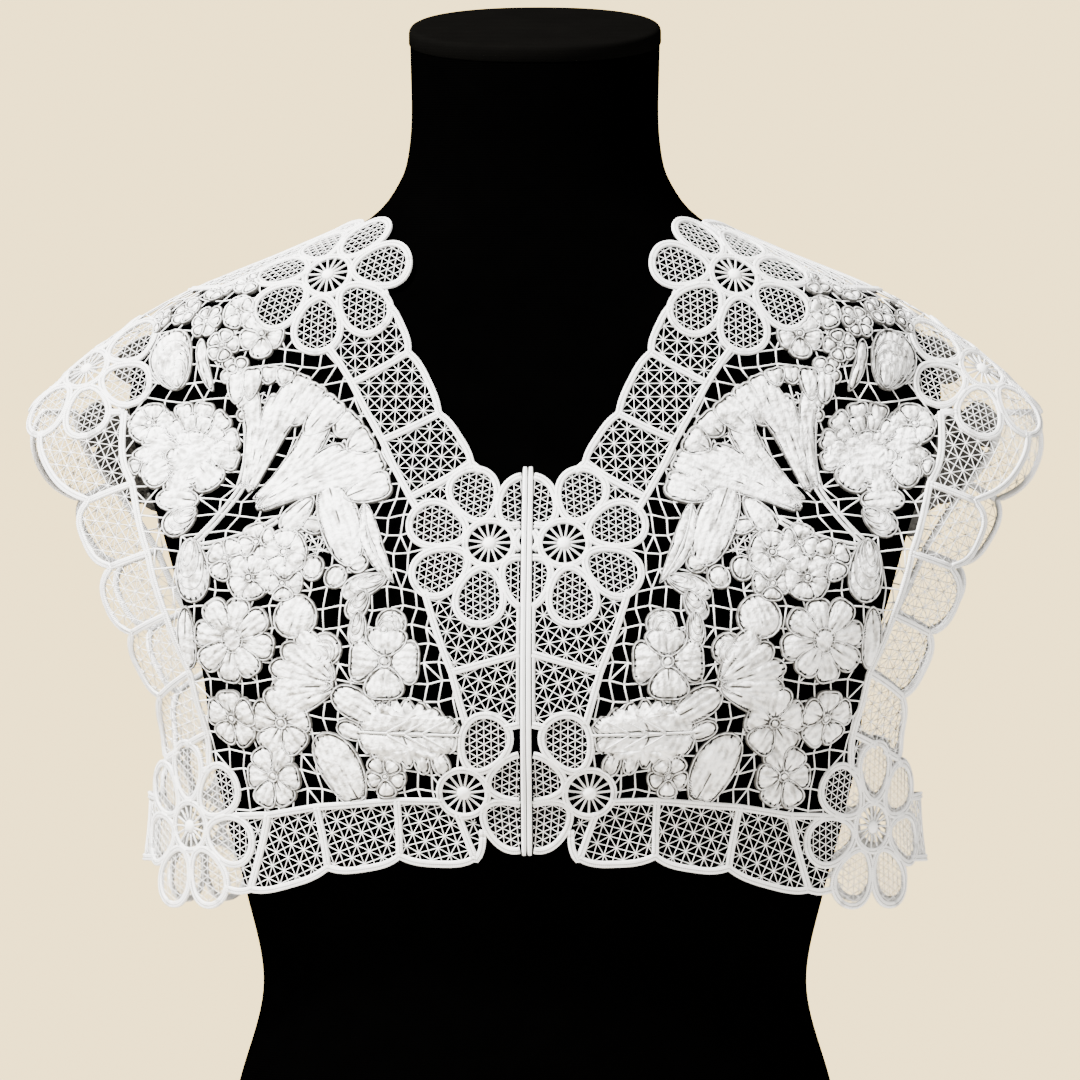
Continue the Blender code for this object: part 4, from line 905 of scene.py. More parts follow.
class StrandTree(ShapeTree):
    """Sweeps a shaped ring along every line of a mesh: one thread or cord for each line."""

    NAME = "strand"
    INPUTS = {"Half Width": "Float", "Half Height": "Float", "Groove": "Float", "Sides": "Int",
              "Finish": "Material"}
    GROOVE_HALF = 0.5         # half width of the groove, as a share of the ring's
    CROWN_POWER = 0.65        # how full the ring is above and below

    def shape(self, graph: Graph, given: bpy.types.NodeOutputs) -> Socket:
        """Lines as curves that face away from the cloth, with the ring swept along them.

        Args:
            graph: The graph to add nodes to.
            given: The tree's own inputs.

        Returns:
            The swept threads.
        """
        curve = graph.out("GeometryNodeMeshToCurve", {0: given["Geometry"]})
        facing = graph.marked("facing", "FLOAT_VECTOR")
        curve = graph.out("GeometryNodeSetCurveNormal", {"Curve": curve, "Normal": facing}, {"mode": "FREE"})
        curve = graph.store(curve, "along", graph.out("GeometryNodeSplineParameter", output="Length"))
        inputs = {"Curve": curve, "Profile Curve": self._ring(graph, given), "Scale": graph.marked("size"),
                  "Fill Caps": True}
        return graph.out("GeometryNodeCurveToMesh", inputs)

    def _ring(self, graph: Graph, given: bpy.types.NodeOutputs) -> Socket:
        """The ring: flatter below, with a groove between two ridges on top.

        Args:
            graph: The graph to add nodes to.
            given: The tree's own inputs.

        Returns:
            The ring as a curve.
        """
        ring = graph.out("GeometryNodeCurvePrimitiveCircle", {"Resolution": given["Sides"], "Radius": 1.0})
        parts = graph.node("ShaderNodeSeparateXYZ", None, {0: graph.out("GeometryNodeInputPosition")}).outputs
        up = Value(graph, parts[0])
        side = Value(graph, parts[1])
        width = Value(graph, given["Half Width"])
        height = Value(graph, given["Half Height"])
        groove = Value(graph, given["Groove"])
        dip = groove * (1.0 - (side / self.GROOVE_HALF) ** 2.0).most(0.0) * up.most(0.0)
        crown = up.size() ** self.CROWN_POWER * up.sign()
        joined = graph.out("ShaderNodeCombineXYZ", {0: height * (crown - dip), 1: width * side})
        shaped = graph.out("GeometryNodeSetPosition", {"Geometry": ring, "Position": joined})
        return graph.store(shaped, "around", graph.out("GeometryNodeSplineParameter", output="Factor"))


class KnotTree(ShapeTree):
    """Sets a low round knot on every point of a mesh."""

    NAME = "knot"
    INPUTS = {"Segments": "Int", "Rings": "Int", "Flatness": "Float", "Finish": "Material"}

    def shape(self, graph: Graph, given: bpy.types.NodeOutputs) -> Socket:
        """Flattened balls that face away from the cloth.

        Args:
            graph: The graph to add nodes to.
            given: The tree's own inputs.

        Returns:
            The knots.
        """
        inputs = {"Segments": given["Segments"], "Rings": given["Rings"], "Radius": 1.0}
        ball = graph.out("GeometryNodeMeshUVSphere", inputs, output="Mesh")
        facing = graph.marked("facing", "FLOAT_VECTOR")
        aim = graph.out("FunctionNodeAlignRotationToVector", {"Vector": facing}, {"axis": "Z"})
        size = Value(graph, graph.marked("size"))
        height = size * Value(graph, given["Flatness"])
        scale = graph.out("ShaderNodeCombineXYZ", {0: size, 1: size, 2: height})
        return graph.out("GeometryNodeInstanceOnPoints",
                         {"Points": given["Geometry"], "Instance": ball, "Rotation": aim, "Scale": scale})


# --- finishes ---
class Finish:
    """A surface made of nodes. Each kind gives its own surface."""

    name = "finish"

    def make(self) -> bpy.types.Material:
        """Build the material.

        Returns:
            The material.
        """
        made = bpy.data.materials.new(self.name)
        made.use_nodes = True
        graph = Graph(made.node_tree)
        graph.feed(made.node_tree.nodes["Principled BSDF"], self.surface(graph))
        return made

    def surface(self, graph: Graph) -> dict:
        """What each input of the surface shader gets."""
        raise NotImplementedError

    @staticmethod
    def attributes(graph: Graph, *names: str) -> list[Value]:
        """Numbers stored on the mesh."""
        return [graph.value("ShaderNodeAttribute", "Fac", {"attribute_name": name}) for name in names]

    @staticmethod
    def noise(graph: Graph, scale: float, detail: float = 2.0) -> Value:
        """Noise fixed to the object, about one patch for each 1/scale metres."""
        place = graph.out("ShaderNodeTexCoord", output="Object")
        return graph.value("ShaderNodeTexNoise", "Fac", None,
                           {"Vector": place, "Scale": scale, "Detail": detail, "Roughness": 0.55})

    @staticmethod
    def bump(graph: Graph, height: Value, strength: float, distance: float) -> Socket:
        """A normal that lets a height stand out of the surface."""
        return graph.out("ShaderNodeBump", {"Strength": strength, "Distance": distance, "Height": height})


@dataclass(frozen=True)
class ThreadFinish(Finish):
    """Twisted cotton thread of the nets and bars."""

    name: str = "lace_thread"
    light: tuple = (0.86, 0.855, 0.84, 1.0)
    dark: tuple = (0.66, 0.65, 0.63, 1.0)
    twist: float = 0.0011             # metres of thread to one turn

    def surface(self, graph: Graph) -> dict:
        """Slanting plies, with painted shade between them.

        Args:
            graph: The graph to add nodes to.

        Returns:
            What each input of the shader gets.
        """
        along, around = self.attributes(graph, "along", "around")
        ply = (along * (math.tau / self.twist) + around * math.tau * 2.0).sine() * 0.5 + 0.5
        # colour darker between the plies, in the bump's valleys: painted shade; the noise adds a random
        # mottle
        tone = ply * 0.55 + self.noise(graph, 900.0) * 0.45
        return {"Roughness": 0.78, "Sheen Weight": 0.12, "Normal": self.bump(graph, ply, 0.5, 0.00012),
                "Base Color": graph.mixed(tone.step(0.05, 0.6), self.dark, self.light)}


@dataclass(frozen=True)
class CordFinish(Finish):
    """Satin stitches laid side by side over a cord."""

    name: str = "lace_cord"
    light: tuple = (0.87, 0.865, 0.85, 1.0)
    # dark end of the tone, reached in the painted shade between stitches and in the groove
    dark: tuple = (0.2, 0.195, 0.185, 1.0)
    stitch: float = 0.0009            # metres along the cord to one stitch
    slant: float = 0.9                # stitches that one stitch leans by
    groove: float = 1.0               # how dark the painted shade in the groove is

    def surface(self, graph: Graph) -> dict:
        """Rows of stitches with painted shade between them, patches of wear, and painted shade in the groove.

        Args:
            graph: The graph to add nodes to.

        Returns:
            What each input of the shader gets.
        """
        along, around = self.attributes(graph, "along", "around")
        side = (around - 0.5).size() * 2.0
        # rows of stitches, also used for the bump: the colour is darker between stitches, which is painted
        # shade
        row = ((along / self.stitch + side * self.slant) * math.pi).sine().size()
        wear = self.noise(graph, 260.0)
        # painted shade along the groove between the cord's two ridges
        middle = (1.0 - side.step(0.8, 0.97)) * self.groove + (1.0 - self.groove)
        tone = (row * 0.3 + wear * 0.5 + 0.25) * (middle * 0.6 + 0.4)
        return {"Sheen Weight": 0.1, "Roughness": 0.7 - row * 0.16,
                "Base Color": graph.mixed(tone.step(0.1, 0.7), self.dark, self.light),
                "Normal": self.bump(graph, row + wear * 1.5, 0.7, 0.0003)}


@dataclass(frozen=True)
class PetalFinish(Finish):
    """Padded satin petals: a rim cord, a pricked stitch line inside it, soft ribs and puckers."""

    name: str = "lace_petal"
    light: tuple = (0.9, 0.895, 0.88, 1.0)
    dark: tuple = (0.36, 0.35, 0.33, 1.0)
    # colour of the painted shade in the stitch line's groove, on the side walls and in the pleats
    painted_shade: tuple = (0.05, 0.047, 0.042, 1.0)
    prick: tuple = (0.004, 0.004, 0.004, 1.0)
    seam_inset: float = 1.45          # millimetres from the edge
    prick_rate: float = 2200.0        # pricks round the middle, for each metre of distance from it
    rib: float = 0.0034               # metres between the soft ribs along a petal

    def surface(self, graph: Graph) -> dict:
        """Mottled satin with painted shade in the stitch line's groove, on the side walls and in the pleats,
        and blacker pricks.

        Args:
            graph: The graph to add nodes to.

        Returns:
            What each input of the shader gets.
        """
        along, across, edge = self.attributes(graph, "along", "around", "edge")
        reach = (along * along + across * across) ** 0.5
        turn = graph.value("ShaderNodeMath", 0, {"operation": "ARCTAN2"}, {0: across, 1: along})
        pucker = self.noise(graph, 270.0)
        broad = self.noise(graph, 110.0)
        rib = (across * (math.tau / self.rib) + broad * 6.0).sine() * 0.5 + 0.5
        # the ribs make the colour darker between them: painted shade; the two noises add random mottle
        tone = broad * 0.4 + pucker * 0.5 + rib * 0.1
        plain = graph.mixed(tone.step(0.32, 0.58), self.dark, self.light)
        # painted shade along the groove of the stitch line inside the rim
        line = 1.0 - (edge - self.seam_inset).size().step(0.25, 0.6)
        # patches in which the painted shade of the stitch line and the pleats is stronger
        shade_patches = self.noise(graph, 150.0, 1.0).step(0.44, 0.54)
        # painted shade on each petal's side walls, where it meets the petals beneath
        wall = 1.0 - edge.step(0.3, 0.75)
        # painted shade in the crease of each petal's pleat
        pleat = 1.0 - across.size().step(0.0003, 0.0006)
        pleat = pleat * (1.0 - along.step(-0.004, 0.001)) * edge.step(1.4, 2.2)
        # where the painted shade goes: the stitch line's groove, the side walls and the pleats
        dark = (line * (shade_patches * 0.6 + 0.4)).most(wall * 0.95).most(pleat * shade_patches).held()
        count = graph.value("ShaderNodeMath", 0, {"operation": "ROUND"}, {0: reach * self.prick_rate})
        spot = (turn * count / math.tau).part() - 0.5
        near = 1.0 - (edge - self.seam_inset - 0.2).size().step(0.6, 0.8)
        patchy = self.noise(graph, 260.0, 1.0).step(0.48, 0.5)
        dot = (1.0 - spot.size().step(0.15, 0.22)) * near * patchy
        # the plain colour with the painted shade laid over it
        with_painted_shade = graph.mixed(dark, plain, self.painted_shade)
        relief = pucker + broad * 1.4 + rib * 0.18 - dot - line * 0.8
        return {"Base Color": graph.mixed(dot.held(), with_painted_shade, self.prick),
                "Roughness": 0.6 + pucker * 0.2, "Sheen Weight": 0.02, "Specular IOR Level": 0.08,
                "Normal": self.bump(graph, relief, 1.0, 0.0019)}


@dataclass(frozen=True)
class JerseyFinish(Finish):
    """Matte black jersey: fine knit columns and rows."""

    name: str = "form_jersey"
    light: tuple = (0.00036, 0.00034, 0.00032, 1.0)
    dark: tuple = (0.00012, 0.00012, 0.00012, 1.0)
    stitch: float = 0.0011
    roughness: float = 0.92

    def surface(self, graph: Graph) -> dict:
        """Knit loops with painted shade between them, under a faint cloud of random tone, with no gloss.

        Args:
            graph: The graph to add nodes to.

        Returns:
            What each input of the shader gets.
        """
        up, round_body = self.attributes(graph, "along", "around")
        wale = (round_body * (math.tau / self.stitch)).sine()
        course = (up * (math.tau / self.stitch) + wale * 0.9).sine()
        knit = wale * course * 0.5 + 0.5
        # colour darker between the knit loops, in the bump's valleys: painted shade; the noise adds a random
        # cloud
        tone = knit * 0.6 + self.noise(graph, 60.0) * 0.4
        return {"Base Color": graph.mixed(tone.step(0.2, 0.8), self.dark, self.light),
                "Roughness": self.roughness, "Specular IOR Level": 0.0,
                "Normal": self.bump(graph, knit, 0.25, 0.00015)}


@dataclass(frozen=True)
class FloorFinish(Finish):
    """Pale matte floor with a faint mottle."""

    name: str = "pale_floor"
    light: tuple = (0.74, 0.69, 0.61, 1.0)
    dark: tuple = (0.70, 0.65, 0.57, 1.0)

    def surface(self, graph: Graph) -> dict:
        """A broad mottle."""
        return {"Base Color": graph.mixed(self.noise(graph, 5.0).step(0.3, 0.7), self.dark, self.light),
                "Roughness": 0.9}


# --- threads, skins and nets ---
@dataclass(frozen=True)
class Thread:
    """How one kind of thread or cord is worked, in millimetres."""

    half_width: float
    half_height: float
    groove: float
    sides: int
    finish: int


class Work(Enum):
    """The kinds of thread and cord in the lace."""

    STAR_NET = Thread(0.2, 0.24, 0.0, 4, 0)
    FINE_NET = Thread(0.178, 0.2, 0.0, 4, 0)
    SPOKE = Thread(0.5, 0.5, 0.0, 6, 1)
    BAR = Thread(0.38, 0.38, 0.0, 4, 0)
    CORD = Thread(1.6, 1.12, 0.6, 10, 1)
    RING = Thread(1.45, 1.12, 0.5, 10, 1)
    EDGING = Thread(0.75, 0.7, 0.0, 6, 1)
    VEIN = Thread(0.55, 0.5, 0.0, 6, 1)
    STEM = Thread(0.72, 0.75, 0.0, 6, 1)
    SATIN = Thread(1.1, 1.023, 0.0, 12, 0)


class Net(Enum):
    """Kinds of net: pitch, thread, and rows of direction in degrees and spacing as a share of the pitch."""

    STAR = (6.5, Work.STAR_NET, ((0.0, 1.0), (90.0, 1.0), (45.0, math.sqrt(0.5)), (135.0, math.sqrt(0.5))))
    FINE = (3.3, Work.FINE_NET, ((90.0, 1.0), (28.0, 1.0), (152.0, 1.0)))


def reversed_faces(corners: np.ndarray, sizes: np.ndarray) -> np.ndarray:
    """Corners with every face run the other way round."""
    first = np.repeat(np.cumsum(sizes) - sizes, sizes)
    return corners[2 * first + np.repeat(sizes, sizes) - 1 - np.arange(len(corners))]


def walls(rings: int, count: int) -> np.ndarray:
    """Corners of the four-sided faces between closed rings of points.

    Args:
        rings: How many rings.
        count: Points in each.

    Returns:
        Places of points in a list of all rings.
    """
    here = np.arange(count)
    ahead = (here + 1) % count
    wall = beside(here, ahead, ahead + count, here + count).ravel()
    return (wall + np.arange(rings - 1)[:, None] * count).ravel()


def show(name: str, data: bpy.types.ID) -> bpy.types.Object:
    """An object of a mesh, a light or a camera, put in the scene."""
    made = bpy.data.objects.new(name, data)
    bpy.context.scene.collection.objects.link(made)
    return made


@dataclass
class Skin:
    """Meshes gathered for one piece, with the numbers its finishes read."""

    meshes: list = field(default_factory=list)

    def add(self, points: Rows, corners: Rows, sizes: Rows, finish: int, numbers: Rows) -> None:
        """Add one mesh.

        Args:
            points: Its points, in metres.
            corners: The point at each corner, face after face.
            sizes: How many corners each face has.
            finish: Place of its finish in the piece's list.
            numbers: Each point's number along and around, and its distance from an edge.
        """
        self.meshes.append((np.asarray(points, float), np.asarray(corners, int), np.asarray(sizes, int),
                            np.full(len(sizes), finish), np.asarray(numbers, float)))

    def add_mesh(self, mesh: bpy.types.Mesh, finish: int) -> None:
        """Add an evaluated mesh and drop it.

        Args:
            mesh: The mesh.
            finish: Place of its finish in the piece's list.
        """
        points = np.empty(len(mesh.vertices) * 3)
        mesh.vertices.foreach_get("co", points)
        corners = np.empty(len(mesh.loops), int)
        mesh.loops.foreach_get("vertex_index", corners)
        sizes = np.empty(len(mesh.polygons), int)
        mesh.polygons.foreach_get("loop_total", sizes)
        numbers = np.zeros((len(NUMBERS), len(mesh.vertices)))
        for name, values in zip(NUMBERS, numbers):
            if name in mesh.attributes:
                mesh.attributes[name].data.foreach_get("value", values)
        self.add(points.reshape(-1, 3), corners, sizes, finish, numbers)
        bpy.data.meshes.remove(mesh)

    def mirrored(self) -> "Skin":
        """The same skin across the centre."""
        return Skin([(points * (-1, 1, 1), reversed_faces(corners, sizes), sizes, finish, numbers)
                     for points, corners, sizes, finish, numbers in self.meshes])

    def thing(self, name: str, materials: list) -> bpy.types.Object:
        """Make one object of everything gathered.

        Args:
            name: Its name.
            materials: Its finishes.

        Returns:
            The object.
        """
        points, corners, sizes, finish, numbers = zip(*self.meshes)
        starts = np.cumsum([0] + [len(part) for part in points])
        corners = np.concatenate([part + start for part, start in zip(corners, starts)])
        sizes = np.concatenate(sizes)
        mesh = bpy.data.meshes.new(name)
        mesh.vertices.add(int(starts[-1]))
        mesh.vertices.foreach_set("co", np.concatenate(points).ravel())
        mesh.loops.add(len(corners))
        mesh.loops.foreach_set("vertex_index", corners.astype(np.int32))
        mesh.polygons.add(len(sizes))
        mesh.polygons.foreach_set("loop_start", (np.cumsum(sizes) - sizes).astype(np.int32))
        mesh.polygons.foreach_set("material_index", np.concatenate(finish).astype(np.int32))
        mesh.polygons.foreach_set("use_smooth", np.ones(len(sizes), bool))
        for key, values in zip(NUMBERS, np.concatenate(numbers, 1)):
            mesh.attributes.new(key, "FLOAT", "POINT").data.foreach_set("value", values)
        mesh.update(calc_edges=True)
        mesh.validate()
        for finish in materials:
            mesh.materials.append(finish)
        return show(name, mesh)


@dataclass
class Run:
    """Points of one thread or of some knots, in millimetres."""

    points: np.ndarray
    normals: np.ndarray
    sizes: np.ndarray
    closed: bool = False


@dataclass
class Workshop:
    """What every piece of lace needs: the cloth, the trees and the finishes."""

    cloth: Cloth
    strands: StrandTree
    knots: KnotTree
    lace: list

    @staticmethod
    def _edges(runs: list[Run]) -> np.ndarray:
        """The edges that join the points of each run.

        Args:
            runs: The runs, in order.

        Returns:
            Pairs of places of points.
        """
        edges = []
        start = 0
        for run in runs:
            step = np.arange(start, start + len(run.points))
            ends = beside(step, np.roll(step, -1))
            edges.append(ends if run.closed else ends[:-1])
            start += len(step)
        return np.concatenate(edges)

    def worked(self, shape: ShapeTree, runs: list[Run], inputs: dict) -> bpy.types.Mesh:
        """Run a node tree once on lines or knots.

        Args:
            shape: The tree.
            runs: What it works on.
            inputs: Value of each named input.

        Returns:
            The finished mesh.
        """
        mesh = bpy.data.meshes.new("work")
        points = np.concatenate([run.points for run in runs]) * MM
        mesh.vertices.add(len(points))
        mesh.vertices.foreach_set("co", points.ravel())
        if shape is self.strands:
            edges = self._edges(runs)
            mesh.edges.add(len(edges))
            mesh.edges.foreach_set("vertices", edges.ravel().astype(np.int32))
        facing = np.concatenate([run.normals for run in runs]).ravel()
        mesh.attributes.new("facing", "FLOAT_VECTOR", "POINT").data.foreach_set("vector", facing)
        sizes = np.concatenate([run.sizes for run in runs])
        mesh.attributes.new("size", "FLOAT", "POINT").data.foreach_set("value", sizes)
        mesh.update()
        holder = show("holder", mesh)
        modifier = holder.modifiers.new("work", "NODES")
        modifier.node_group = shape.tree
        for name, value in inputs.items():
            modifier[shape.sockets[name]] = value
        graph = bpy.context.evaluated_depsgraph_get()
        made = bpy.data.meshes.new_from_object(holder.evaluated_get(graph), preserve_all_data_layers=True,
                                               depsgraph=graph)
        holder.modifiers.clear()
        bpy.data.objects.remove(holder)
        bpy.data.meshes.remove(mesh)
        return made


@dataclass
class Region:
    """Where the threads of one piece may run on the chart."""

    cloth: Cloth
    outline: np.ndarray | None
    under: list

    def keeps(self, chart: np.ndarray) -> np.ndarray:
        """Which chart points lie in the region, clear of what lies over it.

        Args:
            chart: Chart points.

        Returns:
            A mask with one entry for each.
        """
        good = self.cloth.across(chart) > FRONT_EDGE
        good &= chart[:, 0] <= self.cloth.fold + 1e-6
        if self.outline is not None:
            good &= inside(chart, self.outline)
        for top in self.under:
            near = ((chart > top.min(0)) & (chart < top.max(0))).all(1) & good
            if near.any():
                good[near] = ~inside(chart[near], top)
        return good

    def cut(self, chart: np.ndarray, spacing: float, closed: bool = False) -> list:
        """The kept stretches of a finely spaced line.

        Args:
            chart: The line's chart points.
            spacing: How far apart the points of each stretch end up.
            closed: Whether the line is a loop.

        Returns:
            For each stretch its points, and whether it is still a whole loop.
        """
        good = self.keeps(chart)
        if closed and good.all():
            length = np.linalg.norm(np.diff(chart, axis=0, append=chart[:1]), axis=1).sum()
            loop = resample(np.concatenate((chart, chart[:1])), length / round(length / spacing))
            return [(loop[:-1], True)]
        if closed:
            first = int(np.argmin(good))
            chart = np.roll(chart, -first, 0)
            good = np.roll(good, -first)
        return [(resample(chart[part], spacing), False) for part in stretches(good) if len(part) > 2]


class Stitching:
    """Threads, knots and pads gathered for one piece before they are made."""

    def __init__(self, shop: Workshop) -> None:
        """Start with nothing gathered."""
        self.shop = shop
        self.cloth = shop.cloth
        self.runs = {}
        self.knots = []
        self.pads = Skin()

    def run(self, work: Work, chart: np.ndarray, level: float, closed: bool = False) -> None:
        """Add one thread along chart points."""
        points, normals = self.cloth.lifted(chart, level)
        self.runs.setdefault(work, []).append(Run(points, normals, np.ones(len(points)), closed))

    def follow(self, work: Work, region: Region, chart: np.ndarray, level: float = CORD_LEVEL,
               spacing: float = CORD_SPACING, closed: bool = False) -> None:
        """Add a thread along what a region keeps of a line.

        Args:
            work: The kind of thread.
            region: Where it may run.
            chart: Chart points of the finely spaced line.
            level: Height above the cloth.
            spacing: How far apart its points are.
            closed: Whether the line is a loop.
        """
        for part, whole in region.cut(chart, spacing, closed):
            self.run(work, part, level, whole)

    def knot(self, chart: np.ndarray, level: float, radius: float) -> None:
        """Add round knots at chart points."""
        points, normals = self.cloth.lifted(chart, level)
        self.knots.append(Run(points, normals, np.full(len(points), radius * MM)))

    def fill(self, net: Net, region: Region, spot: Rows, reach: float, turn: float) -> None:
        """Fill a region with net laid round one spot of the cloth.

        Args:
            net: The kind of net.
            region: The outline to fill.
            spot: Angle and height of the net's origin.
            reach: How far the net goes from there.
            turn: Degrees it is turned.
        """
        pitch, work, families = net.value
        along = np.arange(-reach, reach + NET_STEP, NET_STEP)
        lines = []
        for family, (direction, share) in enumerate(families):
            gap = pitch * share
            for k in range(-int(reach / gap), int(reach / gap) + 1):
                row = beside(along, np.full(len(along), k * gap))
                row = row[np.hypot(row[:, 0], row[:, 1]) <= reach + 0.5]
                lines.append((NET_LEVELS[family], turned(row, direction + turn)))
        chart = self.cloth.chart_round(*spot, np.concatenate([row for _, row in lines]))
        start = 0
        for level, row in lines:
            self.follow(work, region, chart[start:start + len(row)], level, NET_SPACING)
            start += len(row)
        if net is Net.STAR:
            count = int(reach / pitch) + 1
            grid = np.array([(i * pitch, j * pitch) for i in range(-count, count + 1)
                             for j in range(-count, count + 1) if math.hypot(i, j) * pitch < reach])
            spots = self.cloth.chart_round(*spot, turned(grid, turn))
            kept = spots[region.keeps(spots)]
            if len(kept):
                self.knot(kept, NET_LEVELS[1], KNOT_RADIUS)

    def skin(self) -> Skin:
        """Make every thread and knot, and join them with the pads.

        Returns:
            The whole skin.
        """
        whole = Skin()
        shop = self.shop
        for work, runs in self.runs.items():
            thread = work.value
            inputs = {"Half Width": thread.half_width * MM, "Half Height": thread.half_height * MM,
                      "Groove": thread.groove, "Sides": thread.sides, "Finish": shop.lace[thread.finish]}
            whole.add_mesh(shop.worked(shop.strands, runs, inputs), thread.finish)
        if self.knots:
            inputs = {**KNOT_SHAPE, "Finish": shop.lace[0]}
            whole.add_mesh(shop.worked(shop.knots, self.knots, inputs), 0)
        whole.meshes += self.pads.meshes
        return whole


# --- pieces ---
def hand_over(made: bpy.types.Object, node: str) -> None:
    """Hand a rigid piece to the frame and report it.

    Args:
        made: The piece.
        node: The solid that it replaces.
    """
    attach(made, "root")
    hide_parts(node)
    LOG.info("%s: %d faces", made.name, len(made.data.polygons))


def spread(cloth: Cloth, control: Rows) -> np.ndarray:
    """Corners of the back's cells, evenly spaced along a smooth line.

    Args:
        cloth: The cloth they lie on.
        control: Rows of angle in degrees and height that the line passes through.

    Returns:
        Chart points.
    """
    degrees, levels = np.array(control, float).T
    fine = np.linspace(degrees[0], degrees[-1], 160)
    height = Profile(degrees, levels)(fine)
    angle = np.radians(fine)
    length = lengths(cloth.point(angle, height))
    steps = np.arange(len(fine))
    at = np.interp(np.linspace(0, length[-1], BACK_CELLS + 1), length, steps)
    return cloth.to_chart(beside(np.interp(at, steps, angle), np.interp(at, steps, height)))


class Layout:
    """Outlines of every piece on the chart, so that each knows what lies over it."""

    UNDER_DAISY = 2.4         # how far a border runs under a daisy
    FIELD_UNDER_DAISY = 1.6   # and how far a field does
    EDGE_POINTS = 22
    SCALLOP_POWER = 3.2       # how square a scallop is

    def __init__(self, cloth: Cloth) -> None:
        """Place the daisies and the corners of the bands.

        Args:
            cloth: The cloth.
        """
        self.cloth = cloth
        self.daisies = {name: (math.radians(angle), height, [first + k * 360 / PETALS for k in range(PETALS)])
                        for name, angle, height, first in DAISIES}
        turns = [HEM_WHEEL_FIRST + k * 360 / PETALS for k in range(HEM_WHEEL_PETALS)]
        self.daisies["hem_wheel"] = (cloth.angle_at(*HEM_WHEEL), HEM_WHEEL[1], turns)
        self.bands = {}
        for name, table, bulge in (("neck_border_front", NECK_BAND, SCALLOP_SMALL),
                                   ("front_edge_border", FRONT_BAND, 0.0),
                                   ("hem_border_front", HEM_BAND, SCALLOP_SMALL),
                                   ("armhole_border_front", ARM_BAND, SCALLOP_ARM)):
            table = np.array(table, float)
            self.bands[name] = (cloth.chart_front(table[:, :2]), cloth.chart_front(table[:, 2:]), bulge)
        inner, outer, bulge = self.bands["armhole_border_front"]
        self.bands["armhole_border_back"] = (cloth.mirror_to_back(inner), cloth.mirror_to_back(outer), bulge)
        for name, inner, outer in (("neck_border_back", NECK_BACK_INNER, NECK_BACK_OUTER),
                                   ("hem_border_back", HEM_BACK_INNER, HEM_BACK_OUTER)):
            self.bands[name] = (spread(cloth, inner), spread(cloth, outer), SCALLOP_SMALL)
        self.side = cloth.chart_degrees(SIDE_NET)

    def daisy_outline(self, name: str, inset: float) -> np.ndarray:
        """Outline of a daisy: the wheel, and the far side of each petal's oval.

        Args:
            name: Which daisy.
            inset: How far the outline is drawn in.

        Returns:
            Chart points.
        """
        angle, height, turns = self.daisies[name]
        spots = np.radians(np.arange(0, 360, 5.0))
        reach = np.full(len(spots), WHEEL_RADIUS)
        long, wide = PETAL_RIM
        for turn in np.radians(turns):
            off = (spots - turn + math.pi) % math.tau - math.pi
            near = np.abs(off) < math.pi / PETALS * 1.1
            a = (np.cos(off) / long) ** 2 + (np.sin(off) / wide) ** 2
            b = -2 * PETAL_CENTRE * np.cos(off) / long**2
            c = (PETAL_CENTRE / long) ** 2 - 1
            out = (-b + np.sqrt(np.maximum(b * b - 4 * a * c, 0))) / (2 * a)
            reach = np.where(near, np.maximum(reach, out), reach)
        reach = reach - inset
        return self.cloth.chart_round(angle, height, beside(reach * np.cos(spots), reach * np.sin(spots)))

    def cells(self, name: str) -> list:
        """The cells of a band.

        Args:
            name: Which band.

        Returns:
            For each cell its two inner corners and its scalloped outer edge.
        """
        inner, outer, bulge = self.bands[name]
        share = np.linspace(0, 1, self.EDGE_POINTS)[:, None]
        swell = bulge * (1 - np.abs(2 * share - 1) ** self.SCALLOP_POWER)
        found = []
        for k in range(len(inner) - 1):
            away = (outer[k] + outer[k + 1] - inner[k] - inner[k + 1]) / 2
            away = away / np.linalg.norm(away)
            edge = outer[k] + (outer[k + 1] - outer[k]) * share + away * swell
            found.append((inner[k], inner[k + 1], edge))
        return found

    def edges(self, name: str) -> tuple[np.ndarray, np.ndarray]:
        """Inner and outer edge of a band, from end to end."""
        cells = self.cells(name)
        inner = np.array([cells[0][0]] + [cell[1] for cell in cells])
        return inner, np.concatenate([cell[2] for cell in cells])

    def band_outline(self, name: str) -> np.ndarray:
        """Chart outline of a band along its cords."""
        inner, outer = self.edges(name)
        return np.concatenate((outer, inner[::-1]))

    def over(self, name: str) -> list:
        """Outlines that lie over a piece: the daisies before it, and for a field all borders too.

        Args:
            name: Which piece.

        Returns:
            Chart outlines.
        """
        order = list(self.daisies)
        if name in self.bands or name in order or name == "side_net":
            top = order[: order.index(name)] if name in order else order
            return [self.daisy_outline(other, self.UNDER_DAISY) for other in top]
        found = [self.daisy_outline(other, self.FIELD_UNDER_DAISY) for other in order]
        return found + [self.band_outline(other) for other in self.bands] + [self.side]

    def _under(self, name: str) -> np.ndarray:
        """A line under a band that a field runs to."""
        inner, outer, _ = self.bands[name]
        return inner * (1 - FIELD_UNDER) + outer * FIELD_UNDER

    def fields(self) -> tuple[np.ndarray, np.ndarray]:
        """Outlines of the front and back fields, run under the borders round them.

        Returns:
            The front's outline and the back's.
        """
        cloth = self.cloth
        ridge = cloth.to_chart([(math.pi / 2, height) for height in SHOULDER_RIDGE])
        front = (ridge, cloth.chart_front(FIELD_NECK_CORNER), self._under("neck_border_front"),
                 self._under("front_edge_border"), self._under("hem_border_front"),
                 cloth.chart_front(FIELD_SIDE_CORNER), self._under("armhole_border_front")[::-1])
        neck = self._under("neck_border_back")
        back = (ridge, neck[neck[:, 0] > ridge[0][0]], self._under("hem_border_back")[::-1],
                cloth.chart_degrees(BACK_SIDE_CORNER), self._under("armhole_border_back")[::-1])
        return np.concatenate(front), np.concatenate(back)


